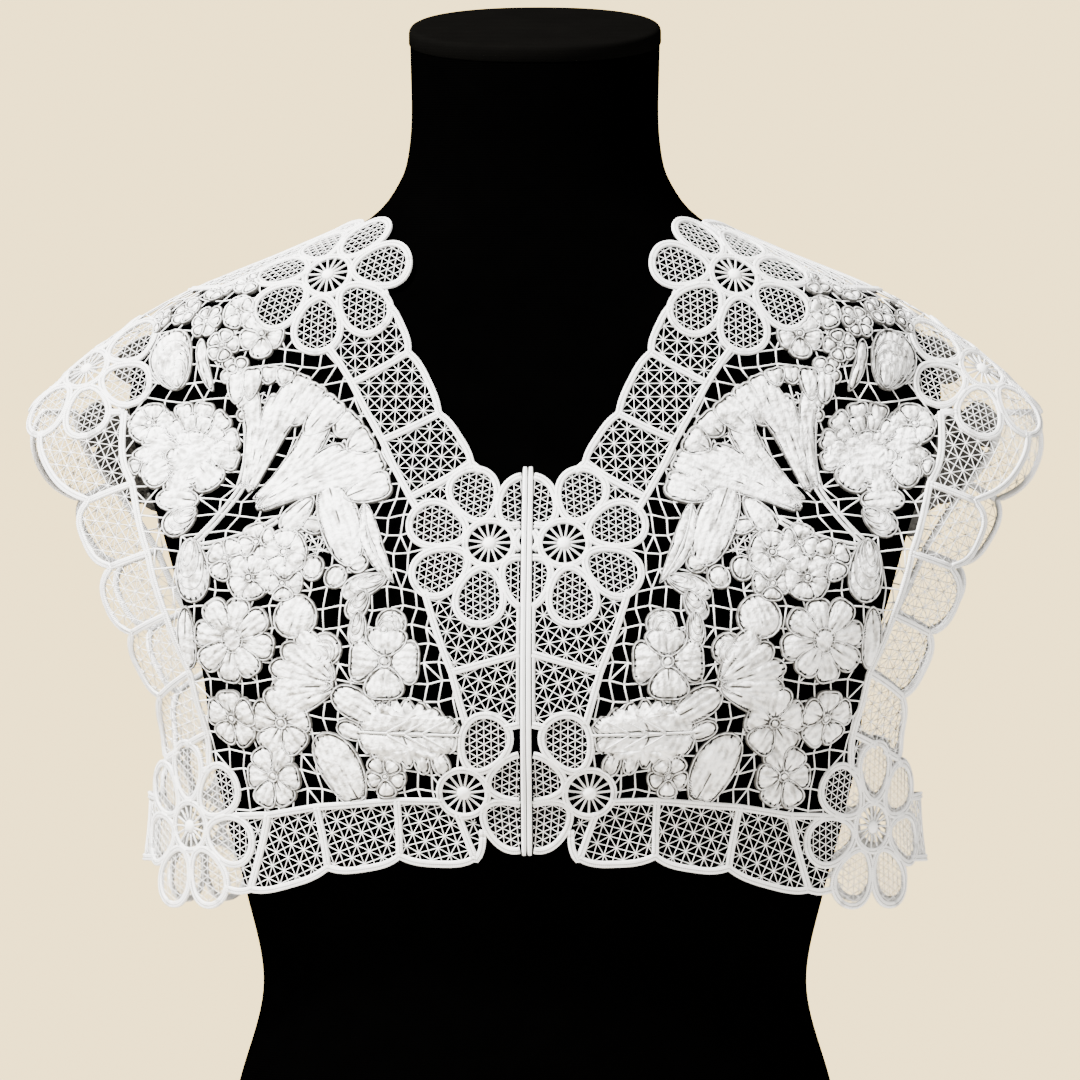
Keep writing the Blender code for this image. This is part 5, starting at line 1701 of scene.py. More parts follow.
@dataclass
class LacePiece:
    """One sewn piece: what it is worked from, and how it is handed over."""

    shop: Workshop
    layout: Layout
    name: str
    both: bool = False            # worked on both halves as one piece
    pieces: list = field(default_factory=list)

    def build(self) -> None:
        """Work the piece on one half and mirror it."""
        stitching = Stitching(self.shop)
        self.stitch(stitching)
        half = stitching.skin()
        skins = {"_L": half, "_R": half.mirrored()}
        if self.both:
            middle = Stitching(self.shop)
            self.stitch_middle(middle)
            skins = {"": Skin(half.meshes + half.mirrored().meshes + middle.skin().meshes)}
        self.pieces = [(skin.thing("lace_" + self.name + side, self.shop.lace), self.name + side)
                       for side, skin in skins.items()]

    def free(self) -> Region:
        """Everywhere that nothing lies over the piece."""
        return Region(self.shop.cloth, None, self.layout.over(self.name))

    def stitch(self, stitching: Stitching) -> None:
        """Work one half."""

    def stitch_middle(self, stitching: Stitching) -> None:
        """Work what lies on the centre line."""

    def flat_size(self) -> tuple[float, float]:
        """Width and length of the flat cut, in millimetres."""
        return FLAT_SIZES.get(self.name, DAISY_SIZE)

    def flat_area(self) -> float:
        """Area of the flat cut in square millimetres, or nothing to take it from the solid."""
        return 0.0

    def dress(self, with_pieces: dict) -> None:
        """Hand the pieces to the frame.

        Args:
            with_pieces: For each node, the pieces sewn to it that move with it; not used.
        """
        wide, long = self.flat_size()
        box = wide * long * MM * MM
        for made, node in self.pieces:
            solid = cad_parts[node].data
            area = self.flat_area() * MM * MM or sum(face.area for face in solid.polygons) / 2
            hand_over(made, node)
            wide * MM
            long * MM
            min(max(area, LEAST_FILL * box), box)
            LOG.info("cut %.0f x %.0f mm, %.1f cm2", wide, long, area * 1e4)


@dataclass
class Daisy(LacePiece):
    """Net petals round an open wheel."""

    SPOKE_ENDS = (HUB_RADIUS - 0.7, RING_RADIUS - 0.4)
    SPOKE_POINTS = 14
    SPOKE_SPACING = 2.8
    NET_TURN = 4.0            # most degrees that a petal's net is turned

    def stitch(self, stitching: Stitching) -> None:
        """Work the wheel, then each petal.

        Args:
            stitching: Where the threads go.
        """
        cloth = self.shop.cloth
        angle, height, turns = self.layout.daisies[self.name]
        free = self.free()
        round_line = circle(np.radians(np.arange(0, 360, 3.0)))
        ring = cloth.chart_round(angle, height, round_line * RING_RADIUS)
        stitching.follow(Work.RING, free, ring, closed=True)
        for k in range(SPOKES):
            ray = beside(np.linspace(*self.SPOKE_ENDS, self.SPOKE_POINTS), np.zeros(self.SPOKE_POINTS))
            ray = cloth.chart_round(angle, height, turned(ray, turns[0] + (k + 0.5) * 360 / SPOKES))
            stitching.follow(Work.SPOKE, free, ray, SPOKE_LEVEL, self.SPOKE_SPACING)
        hub = cloth.chart_round(angle, height, np.zeros((1, 2)))
        if free.keeps(hub)[0]:
            stitching.knot(hub, HUB_LEVEL, HUB_RADIUS)
        long, wide = PETAL_CORD
        taper = beside(np.ones(len(round_line)), 1 + PETAL_TAPER * round_line[:, 0])
        rim = round_line * (long, wide) * taper + (PETAL_CENTRE, 0.0)
        for index, turn in enumerate(turns):
            chart = cloth.chart_round(angle, height, turned(rim, turn))
            stitching.follow(Work.CORD, free, chart, closed=True)
            middle = cloth.lay(angle, height, turned([(PETAL_CENTRE, 0.0)], turn))[0]
            reach = long + 1.0
            if cloth.across(cloth.to_chart(middle[None]))[0] < 0:
                middle = (angle, height)
                reach = PETAL_CENTRE + long
            turn = self.NET_TURN * math.sin(index * 2.4)
            stitching.fill(Net.FINE, Region(cloth, chart, free.under), middle, reach, turn)


@dataclass
class NetBorder(LacePiece):
    """A row of net cells between cords."""

    def _divider(self, stitching: Stitching, start: Rows, end: Rows, free: Region) -> None:
        """One cord straight between two chart points."""
        stitching.follow(Work.CORD, free, resample((start, end), TRACE_STEP))

    def _cell_net(self, stitching: Stitching, cell: tuple, over: list) -> None:
        """Net inside one cell, squared up with the cell's inner edge.

        Args:
            stitching: Where the threads go.
            cell: Its two inner corners and its outer edge.
            over: Outlines that lie over it.
        """
        cloth = self.shop.cloth
        first, second, edge = cell
        outline = np.concatenate((edge, (second, first)))
        middle = cloth.centre(outline[[0, len(edge) - 1, -1, -2]])
        points = cloth.space(outline)
        reach = float(np.linalg.norm(points - cloth.point(middle[:1], middle[1:]), axis=1).max()) + 1.0
        turn = cloth.heading(*middle, points[-2] - points[-1]) + STAR_TURN
        stitching.fill(Net.STAR, Region(cloth, outline, over), middle, reach, turn)

    def stitch(self, stitching: Stitching) -> None:
        """Work the cords and the nets of every cell.

        Args:
            stitching: Where the threads go.
        """
        free = self.free()
        inner, outer = self.layout.edges(self.name)
        stitching.follow(Work.CORD, free, resample(inner, TRACE_STEP))
        edging = Work.CORD
        if self.name == "front_edge_border":
            edging = Work.EDGING
            outer[:, 0] += EDGING_SHIFT
        stitching.follow(edging, free, resample(outer, TRACE_STEP))
        cells = self.layout.cells(self.name)
        for cell in cells:
            self._divider(stitching, cell[0], cell[2][0], free)
            self._cell_net(stitching, cell, free.under)
        if not self.both:
            self._divider(stitching, cells[-1][1], cells[-1][2][-1], free)

    def stitch_middle(self, stitching: Stitching) -> None:
        """The divider at the centre back."""
        last = self.layout.cells(self.name)[-1]
        self._divider(stitching, last[1], last[2][-1], self.free())

    def flat_size(self) -> tuple[float, float]:
        """Width of the band, and its length, on both halves if it is one piece.

        Returns:
            Both, in millimetres.
        """
        length = self.shop.cloth.length
        inner, outer, bulge = self.layout.bands[self.name]
        wide = max(length(ends) for ends in zip(inner, outer)) + bulge
        return wide, max(length(inner), length(outer)) * (2 if self.both else 1)


@dataclass
class SideNet(LacePiece):
    """Net under the arm, between the two underarm daisies."""

    REACH = 36.0
    TURN = 20.0

    def stitch(self, stitching: Stitching) -> None:
        """Work its two cords and its net.

        Args:
            stitching: Where the threads go.
        """
        free = self.free()
        outline = self.layout.side
        for row in (outline[:3], outline[3:]):
            stitching.follow(Work.CORD, free, resample(row, TRACE_STEP))
        region = Region(free.cloth, outline, free.under)
        stitching.fill(Net.STAR, region, free.cloth.centre(outline), self.REACH, self.TURN)


# --- motifs ---
@dataclass
class Lobe:
    """One padded shape, flat round its motif's origin.

    Attributes:
        outline: Closed outline, anticlockwise.
        middle: A point that sees the whole outline.
        crown: How far the middle stands above the rim.
        lift: How far the whole shape is lifted over those beneath.
        axis: Direction of its stitches, in degrees.
        crease: Depth of the pleat from its foot.
    """

    outline: np.ndarray
    middle: np.ndarray
    crown: float
    lift: float
    axis: float
    crease: float = 0.0


class Motif:
    """A flower, leaf or bud: lobes, veins and windows drawn flat, then laid on the cloth."""

    RIM = (  # distance from the edge, least share of the reach, height over the pad's top
        (0.22, 0.92, 0.1),
        (0.6, 0.8, 0.3),
        (1.0, 0.68, 0.12),
        (1.35, 0.56, -0.2),
        (1.85, 0.44, 0.08),
    )
    COARSE_RIM = (RIM[1], RIM[3], RIM[4])
    BACK_SHARE = 0.8          # outline points of a petal on the back, as a share of the front's
    VEIN_STEP = 0.7
    VEIN_SPACING = 2.2
    WINDOW_REACH = 16.0
    WINDOW_TURN = 8.0
    STEM_LEVEL = 0.9
    RIB_LEVEL = 1.7
    SIDE_RIB_LEVEL = 1.95
    CREASE = 0.35             # depth of a petal's pleat
    UNEVEN = 0.022            # how uneven a petal is, as a share of its size
    DISC_UNEVEN = 0.03        # and a disc
    MIDDLE = 0.55             # where a petal's middle lies along it
    FAR = 9.0                 # distance from the edge that stands for the middle of a pad
    BELOW = -1.0              # and for its foot
    LEAST_AREA = 4.0          # a lobe drawn in to less than this is left out

    def __init__(self, angle: float, height: float, back: bool) -> None:
        """Start an empty motif at a place on the front, or on the back across the side line.

        Args:
            angle: Angles round the body, in radians.
            height: Heights above the base.
            back: Whether it lies on the back.
        """
        self.angle = math.pi - angle if back else angle
        self.height = height
        self.back = back
        self.lobes = []
        self.veins = []
        self.windows = []

    @staticmethod
    def _wobble(outline: np.ndarray, middle: np.ndarray, seed: float, amount: float) -> np.ndarray:
        """Hand-drawn unevenness."""
        turn = np.linspace(0, math.tau, len(outline), endpoint=False)
        swell = np.sin(2 * turn + seed * 5.1) + 0.7 * np.sin(3 * turn + seed * 9.7)
        return middle + (outline - middle) * (1 + amount * swell)[:, None]

    def petal(self, base: Rows, tip: Rows, width: float, lift: float, seed: float, round_tip: float = 0.28,
              crown: float = 1.0, frill: float = 0.0, bend: float = 0.0) -> None:
        """Draw an egg-shaped lobe.

        Args:
            base: Where it starts.
            tip: Where it ends.
            width: Its width.
            lift: Its lift over what lies beneath.
            seed: Picks its unevenness.
            round_tip: How much fuller it is towards the tip.
            crown: How far its middle stands up.
            frill: How deep the waves of its outer half are.
            bend: How far its middle is bent aside.
        """
        base = np.asarray(base, float)
        run = np.asarray(tip, float) - base
        length = float(np.linalg.norm(run))
        count = 14 if length < 8 else (20 if length < 20 else 26)
        count = 28 if frill else count
        count = int(count * self.BACK_SHARE) if self.back else count
        turn = np.linspace(0, math.tau, count, endpoint=False) + math.pi / count
        x = length * (1 - np.cos(turn)) / 2
        outer = np.clip(1.4 * x / length - 0.4, 0, 1)
        waves = 1 + frill * outer * (np.abs(np.sin((turn - math.pi) * 2.0)) - 0.6)
        x = length * self.MIDDLE + (x - length * self.MIDDLE) * waves
        y = waves * width / 2 * np.sin(turn) * (1 - round_tip * np.cos(turn))
        y = y + bend * (1 - (2 * x / length - 1) ** 2)
        spin = math.degrees(math.atan2(run[1], run[0]))
        outline = turned(beside(x, -y)[::-1], spin) + base
        middle = turned([(length * self.MIDDLE, -bend)], spin)[0] + base
        outline = self._wobble(outline, middle, seed, self.UNEVEN)
        self.lobes.append(Lobe(outline, middle, crown, lift, spin, self.CREASE))

    def disc(self, middle: Rows, radius: float, lift: float, seed: float, crown: float) -> None:
        """Draw a round lobe.

        Args:
            middle: Its middle.
            radius: Its radius.
            lift: Its lift over what lies beneath.
            seed: Picks its unevenness.
            crown: How far its middle stands up.
        """
        turn = np.linspace(0, math.tau, 12 if radius < 3 else 20, endpoint=False)
        middle = np.asarray(middle, float)
        outline = self._wobble(middle + radius * circle(turn), middle, seed, self.DISC_UNEVEN)
        self.lobes.append(Lobe(outline, middle, crown, lift, 40.0 * seed))

    def ring_of_petals(self, radius: float, count: int, turn: float, lift: float, seed: float, start: float,
                       fullness: float, frill: float = 0.0) -> None:
        """Draw petals round the origin, each over its neighbour.

        Args:
            radius: How far they reach.
            count: How many.
            turn: Degrees of the first.
            lift: Their lift.
            seed: Picks their unevenness.
            start: Where each starts, as a share of the radius.
            fullness: Their width, where 1 just fills the ring.
            frill: How deep the waves of their outer halves are.
        """
        width = 2 * radius * math.sin(math.pi / count) * fullness * 0.82
        for k in range(count):
            toward = way(turn + k * 360 / count)
            reach = radius * (1 + 0.06 * math.sin(seed * 3 + k * 2.1))
            self.petal(toward * radius * start, toward * reach, min(width, radius * 1.15),
                       lift + 0.28 * (k % 2) + 0.02 * k, seed + k, 0.34, frill=frill)

    def flower(self, radius: float, petals: int, turn: float, kind: Bloom, seed: float) -> None:
        """Draw one flower round the origin.

        Args:
            radius: Its size.
            petals: How many petals it has.
            turn: Degrees of the first.
            kind: The kind of flower.
            seed: Picks its unevenness.
        """
        if kind is Bloom.PEONY:
            self._peony(radius, petals, turn, seed)
        elif kind is Bloom.ROSE:
            for k in range(4):
                self.disc(way(turn + 45 + 90 * k) * radius * 0.55, radius * 0.5, 0.05 * k, seed + k, 0.8)
            self.disc((radius * 0.1, radius * 0.05), radius * 0.42, 0.4, seed, 0.6)
        elif kind is Bloom.SPIRAL:
            for k in range(4):
                shift = radius * 0.13 * k
                self.disc((shift, -shift * 0.8), radius * (1 - 0.24 * k), 0.24 * k, seed + k, 0.35)
        elif kind is Bloom.BALL:
            self.disc((0, 0), radius, 0.1, seed, 1.15)
            self.petal((-radius * 0.1, -radius * 0.9), (radius * 0.15, radius * 0.5), radius * 0.5, 0.45,
                       seed, 0.1, 0.5)
        elif kind is Bloom.CLUSTER:
            self.ring_of_petals(radius * 1.08, petals, turn, 0.05, seed, 0.06, 1.2)
            self.disc((radius * 0.08, 0), radius * 0.24, 0.5, seed, 0.6)
        else:
            fullness = 1.16 if petals < 5 else 0.98
            self.ring_of_petals(radius, petals, turn, 0.1, seed, 0.08, fullness, 0.1 if radius > 12 else 0.0)
            self.disc((0, 0), radius * (0.2 if petals < 8 else 0.3), 0.5, seed, 0.5)

    def _peony(self, radius: float, petals: int, turn: float, seed: float) -> None:
        """Draw a deep bowl of nested petals under a frilled crest, as flower does.

        Args:
            radius: Its radius.
            petals: How many outer petals it has.
            turn: Degrees of the first.
            seed: Picks its unevenness.
        """
        for rank, (share, count, reach, lift) in enumerate(((1.0, 8, 200, 0.0), (0.8, 6, 150, 0.2))):
            for k in range(count):
                toward = way(turn + 80 + reach * (k / (count - 1) - 0.5) + 6 * rank) * radius
                self.petal(toward * (share - 0.46), toward * share, radius * 0.42, lift + 0.24 * (k % 2),
                           seed + k + rank, 0.3, frill=0.22)
        for k in range(petals - 4):
            toward = way(turn + 170 + 190 * k / (petals - 5)) * radius
            self.petal(toward * 0.2, toward * (0.92 + 0.05 * (k % 2)), radius * 0.62, 0.05 + 0.24 * (k % 2),
                       seed + k, 0.34)
        for k, (x, y, share) in enumerate(PEONY_HEART):
            self.disc((x * radius, y * radius), radius * share, 0.35 + 0.2 * k, seed + k, 0.5)
        for k, place in enumerate(PEONY_CURLS):
            tip = np.array(place) * radius
            self.petal(tip * 0.4, tip * 1.25, radius * 0.34, 0.5 + 0.1 * (k % 2), seed + 2 * k, 0.3, 0.7)

    def frond(self, length: float, width: float, bend: float, kind: Frond, seed: float) -> None:
        """Draw one leaf, stem or bud along +X from the origin.

        Args:
            length: Its length.
            width: Its width.
            bend: How far its middle is bent aside.
            kind: The kind of leaf.
            seed: Picks its unevenness.
        """
        if kind is Frond.LEAF:
            self._leaf(length, width, bend)
        elif kind is Frond.SHELL:
            for k, share in enumerate((1.0, 0.78, 0.57, 0.36)):
                tip = (length * (0.15 + 0.85 * share), width * 0.05 * k)
                self.petal((length * 0.02, 0), tip, width * share, 0.22 * k, seed + k, 0.2, 0.4)
        elif kind is Frond.LILY:
            self._lily(length, width, seed)
        elif kind is Frond.OAK:
            self._oak(length, width)
        elif kind is Frond.BULB:
            for k, (x, y, share) in enumerate(BULB_BEADS):
                self.disc((x * length, y * width), share * width, 0.1 * k, seed + k, 0.8)
            self.petal((length * 0.1, width * 0.1), (length * 0.34, width * 0.72), width * 0.4, 0.15, seed)
            self.petal((0, -width * 0.16), (length * 0.98, -width * 0.12), width * 0.66, 0.35, seed, 0.0, 1.2)
            self.windows.append(np.array(BULB_WINDOW) * (length, width))
        elif kind is Frond.FAN:
            for k in range(5):
                aside = (k - 2) * 0.27
                tip = (length * math.cos(aside) * (1 - 0.06 * abs(k - 2)), length * math.sin(aside))
                self.petal((length * 0.1 * math.cos(aside), length * 0.1 * math.sin(aside)), tip,
                           width * 0.3, 0.12 * (k % 2) + 0.1, seed + k, 0.34)
        elif kind is Frond.STEM:
            for side in (-1.15, 1.15):
                line = self._bent(np.linspace(0, length, 14), bend, length) + (0, side)
                self.veins.append((line, Work.STEM, self.STEM_LEVEL))
        else:
            self.petal((0, 0), (length, 0), width, 0.05, seed, 0.12, 0.9, bend=bend)

    @staticmethod
    def _bent(x: np.ndarray, bend: float, length: float) -> np.ndarray:
        """Points along a bent midrib."""
        return beside(x, bend * (1 - (2 * x / length - 1) ** 2))

    def _leaf(self, length: float, width: float, bend: float, teeth: int = 0) -> None:
        """Draw two halves either side of a midrib.

        Args:
            length: The leaf's length.
            width: Its width.
            bend: How far the midrib is bent aside.
            teeth: How many teeth each outer edge has.
        """
        x = np.linspace(0, length, 12 if not teeth else 3 * teeth + 2)
        rib = self._bent(x, bend, length)
        swell = width / 2 * np.sin(math.pi * (x / length) ** 0.85) ** 0.8
        if teeth:
            swell = width / 2 * np.sin(math.pi * (x / length) ** 0.8) ** 0.6
            swell = swell * (1 - 0.2 * (np.arange(len(x)) % 3 == 0))
        for side in (-1, 1):
            outer = rib + beside(0 * x, side * swell)
            outline = np.concatenate((rib + (0, side * 0.12), outer[::-1][1:-1]))
            if side < 0:
                outline = outline[::-1]
            if self._area(outline) < 0:
                outline = outline[::-1]
            at = len(x) // 2
            middle = rib[at] + (0, side * swell[at] * 0.45)
            self.lobes.append(Lobe(outline, middle, 0.7, 0.12, 62.0 * side))
        vein = self._bent(np.linspace(length * 0.04, length * 0.94, 10), bend, length)
        self.veins.append((vein, Work.VEIN, self.RIB_LEVEL))

    @staticmethod
    def _area(outline: np.ndarray) -> float:
        """Signed area of an outline."""
        x, y = outline.T
        return 0.5 * float((x * np.roll(y, -1) - y * np.roll(x, -1)).sum())

    def _lily(self, length: float, width: float, seed: float) -> None:
        """Draw a trumpet of ribs that part towards a frilled rim, with a window of net.

        Args:
            length: Its length.
            width: Its width.
            seed: Picks its unevenness.
        """
        for k, (off, end, share) in enumerate(LILY_RIBS):
            self.petal((length * 0.03 * (k % 2), off * width * 0.16), (length * end, off * width),
                       width * share, 0.1 + 0.22 * (k % 3), seed + k, 0.4, 0.8, 0.08, off * width * 0.24)
        for k, off in enumerate((-0.5, -0.33, -0.14, 0.06, 0.26, 0.46)):
            reach = length * (1.0 - 0.35 * off * off)
            base = (reach - width * (0.4 if abs(off) > 0.2 else 0.24), off * width * 0.8)
            self.petal(base, (reach, off * width * 1.04), width * 0.25, 0.36 + 0.3 * (k % 2), seed + k,
                       0.3, 0.9, 0.2)
        self.windows.append(np.array(LILY_WINDOW) * (length, width))

    def _oak(self, length: float, width: float) -> None:
        """Draw a broad toothed leaf with short side ribs.

        Args:
            length: Its length.
            width: Its width.
        """
        self._leaf(length, width, 0.0, 7)
        for share in (0.3, 0.46, 0.62):
            for side in (-1, 1):
                x = np.linspace(0, 0.2 * length, 5)
                vein = beside(share * length + x, side * (0.6 + 0.55 * x))
                self.veins.append((vein, Work.VEIN, self.SIDE_RIB_LEVEL))

    def turn_all(self, degrees: float, shift: np.ndarray) -> None:
        """Turn and shift everything drawn so far.

        Args:
            degrees: How far to turn.
            shift: How far to shift.
        """
        for lobe in self.lobes:
            lobe.outline = turned(lobe.outline, degrees) + shift
            lobe.middle = turned(lobe.middle[None], degrees)[0] + shift
            lobe.axis += degrees
        self.veins = [(turned(line, degrees) + shift, work, level) for line, work, level in self.veins]
        self.windows = [turned(line, degrees) + shift for line in self.windows]

    def laid(self, cloth: Cloth, flat: np.ndarray) -> np.ndarray:
        """Chart points of flat points, mirrored on the back."""
        return cloth.chart_round(self.angle, self.height, flat * ((-1, 1) if self.back else (1, 1)), 4)

    def fit(self, cloth: Cloth, region: Region) -> None:
        """Draw in every lobe that would pass under a border, and drop those left too small.

        Args:
            cloth: The cloth.
            region: Where lobes may lie.
        """
        kept = []
        shares = np.linspace(0.08, 1.0, 14)
        for lobe in self.lobes:
            flat = lobe.middle + (lobe.outline - lobe.middle)[:, None] * shares[None, :, None]
            good = region.keeps(self.laid(cloth, np.concatenate((lobe.middle[None], flat.reshape(-1, 2)))))
            if not good[0]:
                continue
            reach = np.cumprod(good[1:].reshape(len(lobe.outline), -1), axis=1).sum(1)
            share = np.where(reach > 0, shares[np.maximum(reach - 1, 0)], 0.06)
            share = np.minimum(share, np.roll(share, 1) + 0.3)
            share = np.minimum(share, np.roll(share, -1) + 0.3)
            lobe.outline = lobe.middle + (lobe.outline - lobe.middle) * share[:, None]
            if abs(self._area(lobe.outline)) > self.LEAST_AREA:
                kept.append(lobe)
        self.lobes = kept

    def _levels(self, reach: np.ndarray, top: float,
                crown: float) -> Iterator[tuple[np.ndarray, float, float]]:
        """The rings of a pad, from its foot inwards.

        Args:
            reach: Distance from the middle to each point of the outline.
            top: Height of the pad's top.
            crown: How far its middle stands above that.

        Yields:
            For each ring its shares of the reach, its height and its distance from the edge.
        """
        whole = np.ones(len(reach))
        yield whole * 0.985, PAD_FOOT, self.BELOW
        yield whole, top * 0.6, -0.2
        for inset, least, rise in self.COARSE_RIM if self.back else self.RIM:
            inner = np.maximum(1 - inset / reach, least)
            yield inner, top + rise, inset
        for share in (0.66, 0.34):
            yield inner * share, top + rise + crown * (1 - share**2), 2.0 + 7.0 * (1 - share)

    def pad(self, stitching: Stitching, lobe: Lobe) -> np.ndarray:
        """Make one lobe's closed skin.

        Args:
            stitching: Where the skin goes.
            lobe: The lobe.

        Returns:
            Its outline on the chart.
        """
        reach = np.linalg.norm(lobe.outline - lobe.middle, axis=1)
        size = float(reach.mean())
        crown = lobe.crown * min(1.0, size / 5.0)
        count = len(lobe.outline)
        top = PAD_TOP + lobe.lift
        shares, levels, edges = zip(*self._levels(reach, top, crown))
        rings = [lobe.middle + (lobe.outline - lobe.middle) * share[:, None] for share in shares]
        flat = np.concatenate(rings + [lobe.middle[None]] * 2)
        level = np.append(np.repeat(levels, count), (top + crown + self.RIM[-1][2], PAD_FOOT))
        edge = np.append(np.repeat(edges, count), (self.FAR, self.BELOW))
        local = turned(flat - lobe.middle, -lobe.axis)
        pleat = np.exp(-((local[:, 1] / 0.7) ** 2)) * np.clip(0.75 - local[:, 0] / max(size, 1) * 0.9, 0, 1)
        ripple = 0.16 * np.sin(local[:, 0] * 0.9 + size) * np.sin(local[:, 1] * 1.1 + size)
        level = level + np.where(edge > 1.5, ripple - lobe.crease * pleat * min(1.0, size / 6.0), 0.0)
        chart = self.laid(stitching.cloth, flat)
        points, _ = stitching.cloth.lifted(chart, level)
        here = np.arange(count)
        ahead = (here + 1) % count
        last = (len(rings) - 1) * count
        crest, foot = 0 * here + len(flat) - 2, 0 * here + len(flat) - 1
        caps = beside(last + here, last + ahead, crest, ahead, here, foot).ravel()
        corners = np.concatenate((walls(len(rings), count), caps))
        sizes = np.array([4] * last + [3, 3] * count)
        if self.back:
            corners = reversed_faces(corners, sizes)
        stitching.pads.add(points * MM, corners, sizes, PAD_FINISH, (*(local * MM).T, edge))
        return chart[count: 2 * count]

    def stitch(self, stitching: Stitching, region: Region) -> list:
        """Work the whole motif.

        Args:
            stitching: Where it goes.
            region: Where it may lie.

        Returns:
            The chart outlines it covers.
        """
        cloth = stitching.cloth
        self.fit(cloth, region)
        covered = [self.pad(stitching, lobe) for lobe in self.lobes]
        for line, work, level in self.veins:
            chart = self.laid(cloth, resample(line, self.VEIN_STEP))
            stitching.follow(work, region, chart, level, self.VEIN_SPACING)
        for window in self.windows:
            outline = self.laid(cloth, window)
            stitching.fill(Net.FINE, Region(cloth, outline, region.under), cloth.centre(outline),
                           self.WINDOW_REACH, self.WINDOW_TURN)
        return covered


@dataclass
class FloralField(LacePiece):
    """Flowers and leaves joined by bars."""

    BAR_STEP = 0.5            # how finely a bar is tested against the motifs
    TUCK = 2                  # steps that a bar runs on under a motif
    AREA_STEP = 3.0           # grid on which the flat area is summed

    outline: np.ndarray = None
    flowers: tuple = ()
    leaves: tuple = ()

    def _motifs(self) -> list[Motif]:
        """Every motif, leaves first so that flowers lie over them.

        Returns:
            The motifs.
        """
        back = self.name == "back_panel"
        found = []
        seed = 0.0
        for row in self.leaves:
            seed += SEED_STEP
            found.append(self._leaf(row, back, seed))
        for x, z, radius, petals, turn, kind in self.flowers:
            seed += SEED_STEP
            motif = Motif(self.shop.cloth.angle_at(x, z), z, back)
            motif.flower(radius, petals, turn, kind, seed)
            found.append(motif)
        return found

    def _leaf(self, row: tuple, back: bool, seed: float) -> Motif:
        """One leaf, turned from its base to its tip on the cloth.

        Args:
            row: Its row of the table.
            back: Whether it lies on the back.
            seed: Picks its unevenness.

        Returns:
            The motif.
        """
        cloth = self.shop.cloth
        base_x, base_z, tip_x, tip_z, width, bend, kind = row
        height = (base_z + tip_z) / 2
        angle = cloth.angle_at((base_x + tip_x) / 2, height)
        levels = np.array([base_z, tip_z])
        run = np.diff(cloth.point(cloth.front_angle(np.array([base_x, tip_x]), levels), levels), axis=0)[0]
        turn = cloth.heading(angle, height, run)
        length = float(np.linalg.norm(run))
        motif = Motif(angle, height, back)
        motif.frond(length, width, bend, kind, seed)
        motif.turn_all(turn, turned([(-length / 2, 0.0)], turn)[0])
        return motif

    @staticmethod
    def crossing(column: int, row: int) -> np.ndarray:
        """A crossing of bars on the chart, strayed a little from an even grid."""
        stray_u = math.sin(column * WANDER_ALONG[0] + row * WANDER_ALONG[1]) * BAR_WANDER
        stray_w = math.sin(column * WANDER_UP[0] + row * WANDER_UP[1]) * BAR_WANDER
        return np.array((column * BAR_SPACING + stray_u, row * BAR_SPACING + stray_w))

    def _bar(self, stitching: Stitching, line: np.ndarray, region: Region, boxes: list) -> None:
        """Work what shows of one bar, with its ends run a little way under the motifs.

        Args:
            stitching: Where it goes.
            line: Its chart points.
            region: Where it may run.
            boxes: Lowest point, highest point and outline of each motif's lobe.
        """
        good = region.keeps(line)
        if not good.any():
            return
        for bottom, top, chart in boxes:
            if (line.max(0) > bottom).all() and (line.min(0) < top).all():
                good &= ~inside(line, chart)
        for stretch in stretches(good):
            first = max(stretch[0] - self.TUCK, 0)
            last = min(stretch[-1] + self.TUCK, len(line) - 1)
            if last - first > 2:
                stitching.run(Work.BAR, resample(line[first:last + 1], NET_SPACING), BAR_LEVEL)

    def stitch(self, stitching: Stitching) -> None:
        """Work the motifs, then bars between them along a strayed grid with some diagonals.

        Args:
            stitching: Where the threads go.
        """
        region = Region(self.shop.cloth, self.outline, self.layout.over(self.name))
        covered = []
        for motif in self._motifs():
            covered += motif.stitch(stitching, region)
        boxes = [(chart.min(0), chart.max(0), chart) for chart in covered]
        low = (self.outline.min(0) / BAR_SPACING).astype(int) - 1
        high = (self.outline.max(0) / BAR_SPACING).astype(int) + 2
        for column in range(low[0], high[0]):
            for row in range(low[1], high[1]):
                ends = [self.crossing(column + 1, row), self.crossing(column, row + 1)]
                if (column * 7 + row * 3) % 6 == 0:
                    ends.append(self.crossing(column + 1, row + 1))
                for end in ends:
                    bar = resample((self.crossing(column, row), end), self.BAR_STEP)
                    self._bar(stitching, bar, region, boxes)

    def flat_area(self) -> float:
        """Area inside the cut edge, with the gaps between the flowers.

        Returns:
            Square millimetres.
        """
        cloth = self.shop.cloth
        step = self.AREA_STEP
        across, up = (np.arange(*ends, step) for ends in zip(self.outline.min(0), self.outline.max(0)))
        grid = np.array([(u, w) for u in across for w in up])
        grid = grid[inside(grid, self.outline)]
        sides = [cloth.space(grid + half) - cloth.space(grid - half)
                 for half in (np.array((step / 2, 0.0)), np.array((0.0, step / 2)))]
        whole = float(np.linalg.norm(np.cross(*sides), axis=1).sum())
        return whole * (2 if self.both else 1)

    def _longest(self, axis: int) -> float:
        """Longest line of the panel along one axis of the chart.

        Args:
            axis: 0 for round the body, 1 for up.

        Returns:
            Its length in millimetres.
        """
        low = self.outline.min(0)
        high = self.outline.max(0)
        along = np.arange(low[axis], high[axis], 2.0)
        best = 0.0
        for level in np.arange(low[1 - axis] + 2, high[1 - axis], 6.0):
            line = np.roll(beside(along, 0 * along + level), axis, 1)
            line = line[inside(line, self.outline)]
            if len(line) > 1:
                best = max(best, self.shop.cloth.length(line))
        return best

    def flat_size(self) -> tuple[float, float]:
        """Widest and longest reach of the panel on the cloth."""
        return self._longest(0) * (2 if self.both else 1), self._longest(1)


